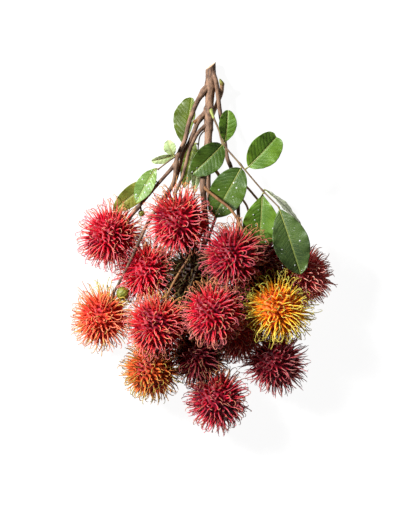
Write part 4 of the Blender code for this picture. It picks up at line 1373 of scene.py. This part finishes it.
def grow_nub(name, routes, rng, material):
    """A small fruit, and its short stalk from the nearest stem."""
    centre, radius = NUBS[name]
    roots = spread_directions(int(radius * MOUNDS_PER_MM), rng)
    skin, _, faces, _ = bumpy_body(centre, NUB_AXIS, radius, NUB_STRETCH, roots, *NUB_MOUNDS,
                                   seed=NUB_SEED, fineness=5)
    add_skin(name, skin, faces, material)
    route = nearest_route(routes, centre)
    start = route[max(gaps(route, centre).argmin() - 5, 0)]
    points = smooth_route((start, (start + centre) / 2 + FOOT_BEND, centre), STEM_STEP)
    grow_short(name + "_foot", points, np.linspace(*NUB_STALK, len(points)), 10, "fruit_stalk",
               bpy.data.materials["wood_fruit_stalk"])


def grow_bud(material):
    """A swollen brown bud, three-sided where its scales meet, with a green tip."""
    place, direction, radius, length = BUD
    points, faces = sphere_points(5)
    rise = (points[:, 2] + 1) / 2
    twist = np.arctan2(points[:, 1], points[:, 0]) + rise * 2.2
    foot, loss = BUD_WIDTH
    width = radius * (foot - loss * rise ** 0.8) * (1 + 0.08 * rise * np.cos(3 * twist))
    depth = 0.55 * length
    shape = np.column_stack((points[:, 0] * width, points[:, 1] * width, rise * (length + depth)))
    seat = np.array(place) - unit(direction) * depth
    add_skin("bud", shape @ frame_of(direction) + seat, faces, material,
             [("brown", "FLOAT", np.clip(1.25 - 1.7 * rise, 0, 1))])


# Operators

class RAMBUTAN_OT_stems(bpy.types.Operator):
    """Grow the cut main stem, its shoots, the fruit stalks and the leaf stalks"""
    bl_idname = "rambutan.grow_stems"
    bl_label = "Grow Stems"

    def execute(self, context):
        materials = {slot: bark_material(slot) for slot in BARK_LOOKS}
        routes = stem_routes(flare=settings().stems.flare)
        for number, (name, (route, radii)) in enumerate(routes.items()):
            grow_stem(name, route, radii, number, materials)
        for name, (slot, points, first, last) in STUBS.items():
            route = smooth_route(points, STEM_STEP)
            radii = np.linspace(first, last, len(route))
            grow_short(name, route, radii, 10, slot, materials[slot])
        route, radii = routes["rachis_right"]
        swollen = lengths_along(route) < LEAF_FOOT_LENGTH
        grow_short("rachis_right_foot", route[swollen], radii[swollen] + 0.25, 12, "leaf_stalk",
                   leaf_rib_material())
        return {"FINISHED"}


class RAMBUTAN_OT_leaves(bpy.types.Operator):
    """Grow the leaflets with their veins, midribs and feet"""
    bl_idname = "rambutan.grow_leaves"
    bl_label = "Grow Leaves"

    def execute(self, context):
        materials = {}
        for look in LEAF_LOOKS:
            materials[look] = leaf_material(look)
            materials[look + "_underside"] = leaf_material(look, underside=True)
        rib_material = leaf_rib_material()
        routes = stem_routes()
        water = water_material()
        for name in LEAVES:
            places = grow_leaf(name, routes, materials, rib_material)
            if name in DROPS:
                add_drops(name, places, water)
        return {"FINISHED"}


class RAMBUTAN_OT_fruits(bpy.types.Operator):
    """Grow the rinds with their soft spines"""
    bl_idname = "rambutan.grow_fruits"
    bl_label = "Grow Fruits"

    def execute(self, context):
        looks = {row.name: rind_material(row) for row in settings().fruits.looks}
        routes, radii = zip(*stem_routes(step=GUARD_STEP).values())
        obstacles = (np.vstack(routes), np.concatenate(radii), leaf_guard())
        rng = np.random.default_rng(settings().fruits.seed)
        for name in FRUITS:
            grow_fruit(name, rng, obstacles, looks[FRUITS[name][5]])
        return {"FINISHED"}


class RAMBUTAN_OT_nubs(bpy.types.Operator):
    """Grow the undeveloped fruits and the bud"""
    bl_idname = "rambutan.grow_nubs"
    bl_label = "Grow Nubs And Bud"

    def execute(self, context):
        material = nub_material()
        routes = stem_routes()
        rng = np.random.default_rng(settings().fruits.seed)
        for name in NUBS:
            grow_nub(name, routes, rng, material)
        grow_bud(material)
        return {"FINISHED"}


class RAMBUTAN_OT_stage(bpy.types.Operator):
    """Lay the floor and set up the lights and the camera"""
    bl_idname = "rambutan.set_stage"
    bl_label = "Set Stage"

    def execute(self, context):
        sizes = settings().stage
        corners = [(x * FLOOR_HALF, y * FLOOR_HALF, -MM)
                   for x, y in ((-1, -1), (1, -1), (1, 1), (-1, 1))]
        floor = new_piece("floor", corners, faces=[(0, 1, 2, 3)])
        floor.data.materials.append(floor_material(sizes.floor_colour))
        self.add_key_light(context.scene, sizes.key_power)
        world = bpy.data.worlds.new("studio")
        world.use_nodes = True
        feed(world.node_tree, world.node_tree.nodes["Background"], {
            "Color": WHITE, "Strength": sizes.fill})
        context.scene.world = world
        context.scene.view_settings.view_transform = "Standard"
        self.add_camera(context.scene, sizes)
        return {"FINISHED"}

    @staticmethod
    def add_key_light(scene, power):
        light = bpy.data.lights.new("softbox", "AREA")
        light.shape = "DISK"
        light.size = KEY_SIZE
        light.energy = power
        lamp = bpy.data.objects.new("softbox", light)
        lamp.location = KEY_PLACE
        lamp.rotation_euler = (-Vector(KEY_PLACE)).to_track_quat("-Z", "Y").to_euler()
        scene.collection.objects.link(lamp)

    @staticmethod
    def add_camera(scene, sizes):
        """Looks straight down on the middle of the view."""
        data = bpy.data.cameras.new("camera")
        data.sensor_width = 36.0
        data.lens = data.sensor_width * sizes.camera_height / sizes.view_length
        data.clip_end = 50.0
        camera = bpy.data.objects.new("camera", data)
        camera.location = bunch_place(VIEW_MIDDLE) + (0.0, 0.0, sizes.camera_height)
        scene.collection.objects.link(camera)
        scene.camera = camera


class RAMBUTAN_PT_panel(bpy.types.Panel):
    """Lists what the bunch is made of"""
    bl_idname = "RAMBUTAN_PT_panel"
    bl_label = "Rambutan Bunch"
    bl_space_type = "VIEW_3D"
    bl_region_type = "UI"
    bl_category = "Rambutan"

    def draw(self, context):
        for title in ("stems", "leaves", "fruits", "stage"):
            group = getattr(context.scene.rambutan_bunch, title)
            box = self.layout.box()
            box.label(text=title.capitalize())
            for name in group.__annotations__:
                if name != "looks":
                    box.prop(group, name)
        for operator in OPERATORS:
            self.layout.operator(operator.bl_idname)


OPERATORS = (RAMBUTAN_OT_stems, RAMBUTAN_OT_leaves, RAMBUTAN_OT_fruits, RAMBUTAN_OT_nubs,
             RAMBUTAN_OT_stage)
CLASSES = (RindLook, FruitSettings, StemSettings, LeafSettings, StageSettings, BunchSettings,
           *OPERATORS, RAMBUTAN_PT_panel)


def fill_looks(rows):
    """Puts the rinds' colours in the settings, where a user can change them."""
    rows.clear()
    parts = ("skin", "spine", "outer", "outer_other", "stalk_end", "patch")
    for name, (*colours, patch_share) in RIND_LOOKS.items():
        row = rows.add()
        row.name = name
        row.patch_share = patch_share
        for part, rgb in zip(parts, colours):
            setattr(row, part, srgb(*rgb))


def register():
    for cls in CLASSES:
        bpy.utils.register_class(cls)
    bpy.types.Scene.rambutan_bunch = bpy.props.PointerProperty(type=BunchSettings)


def unregister():
    del bpy.types.Scene.rambutan_bunch
    for cls in reversed(CLASSES):
        bpy.utils.unregister_class(cls)


def main():
    register()
    fill_looks(settings().fruits.looks)
    bpy.ops.rambutan.grow_stems()
    bpy.ops.rambutan.grow_leaves()
    bpy.ops.rambutan.grow_fruits()
    bpy.ops.rambutan.grow_nubs()
    bpy.ops.rambutan.set_stage()


if __name__ == "__main__":
    main()
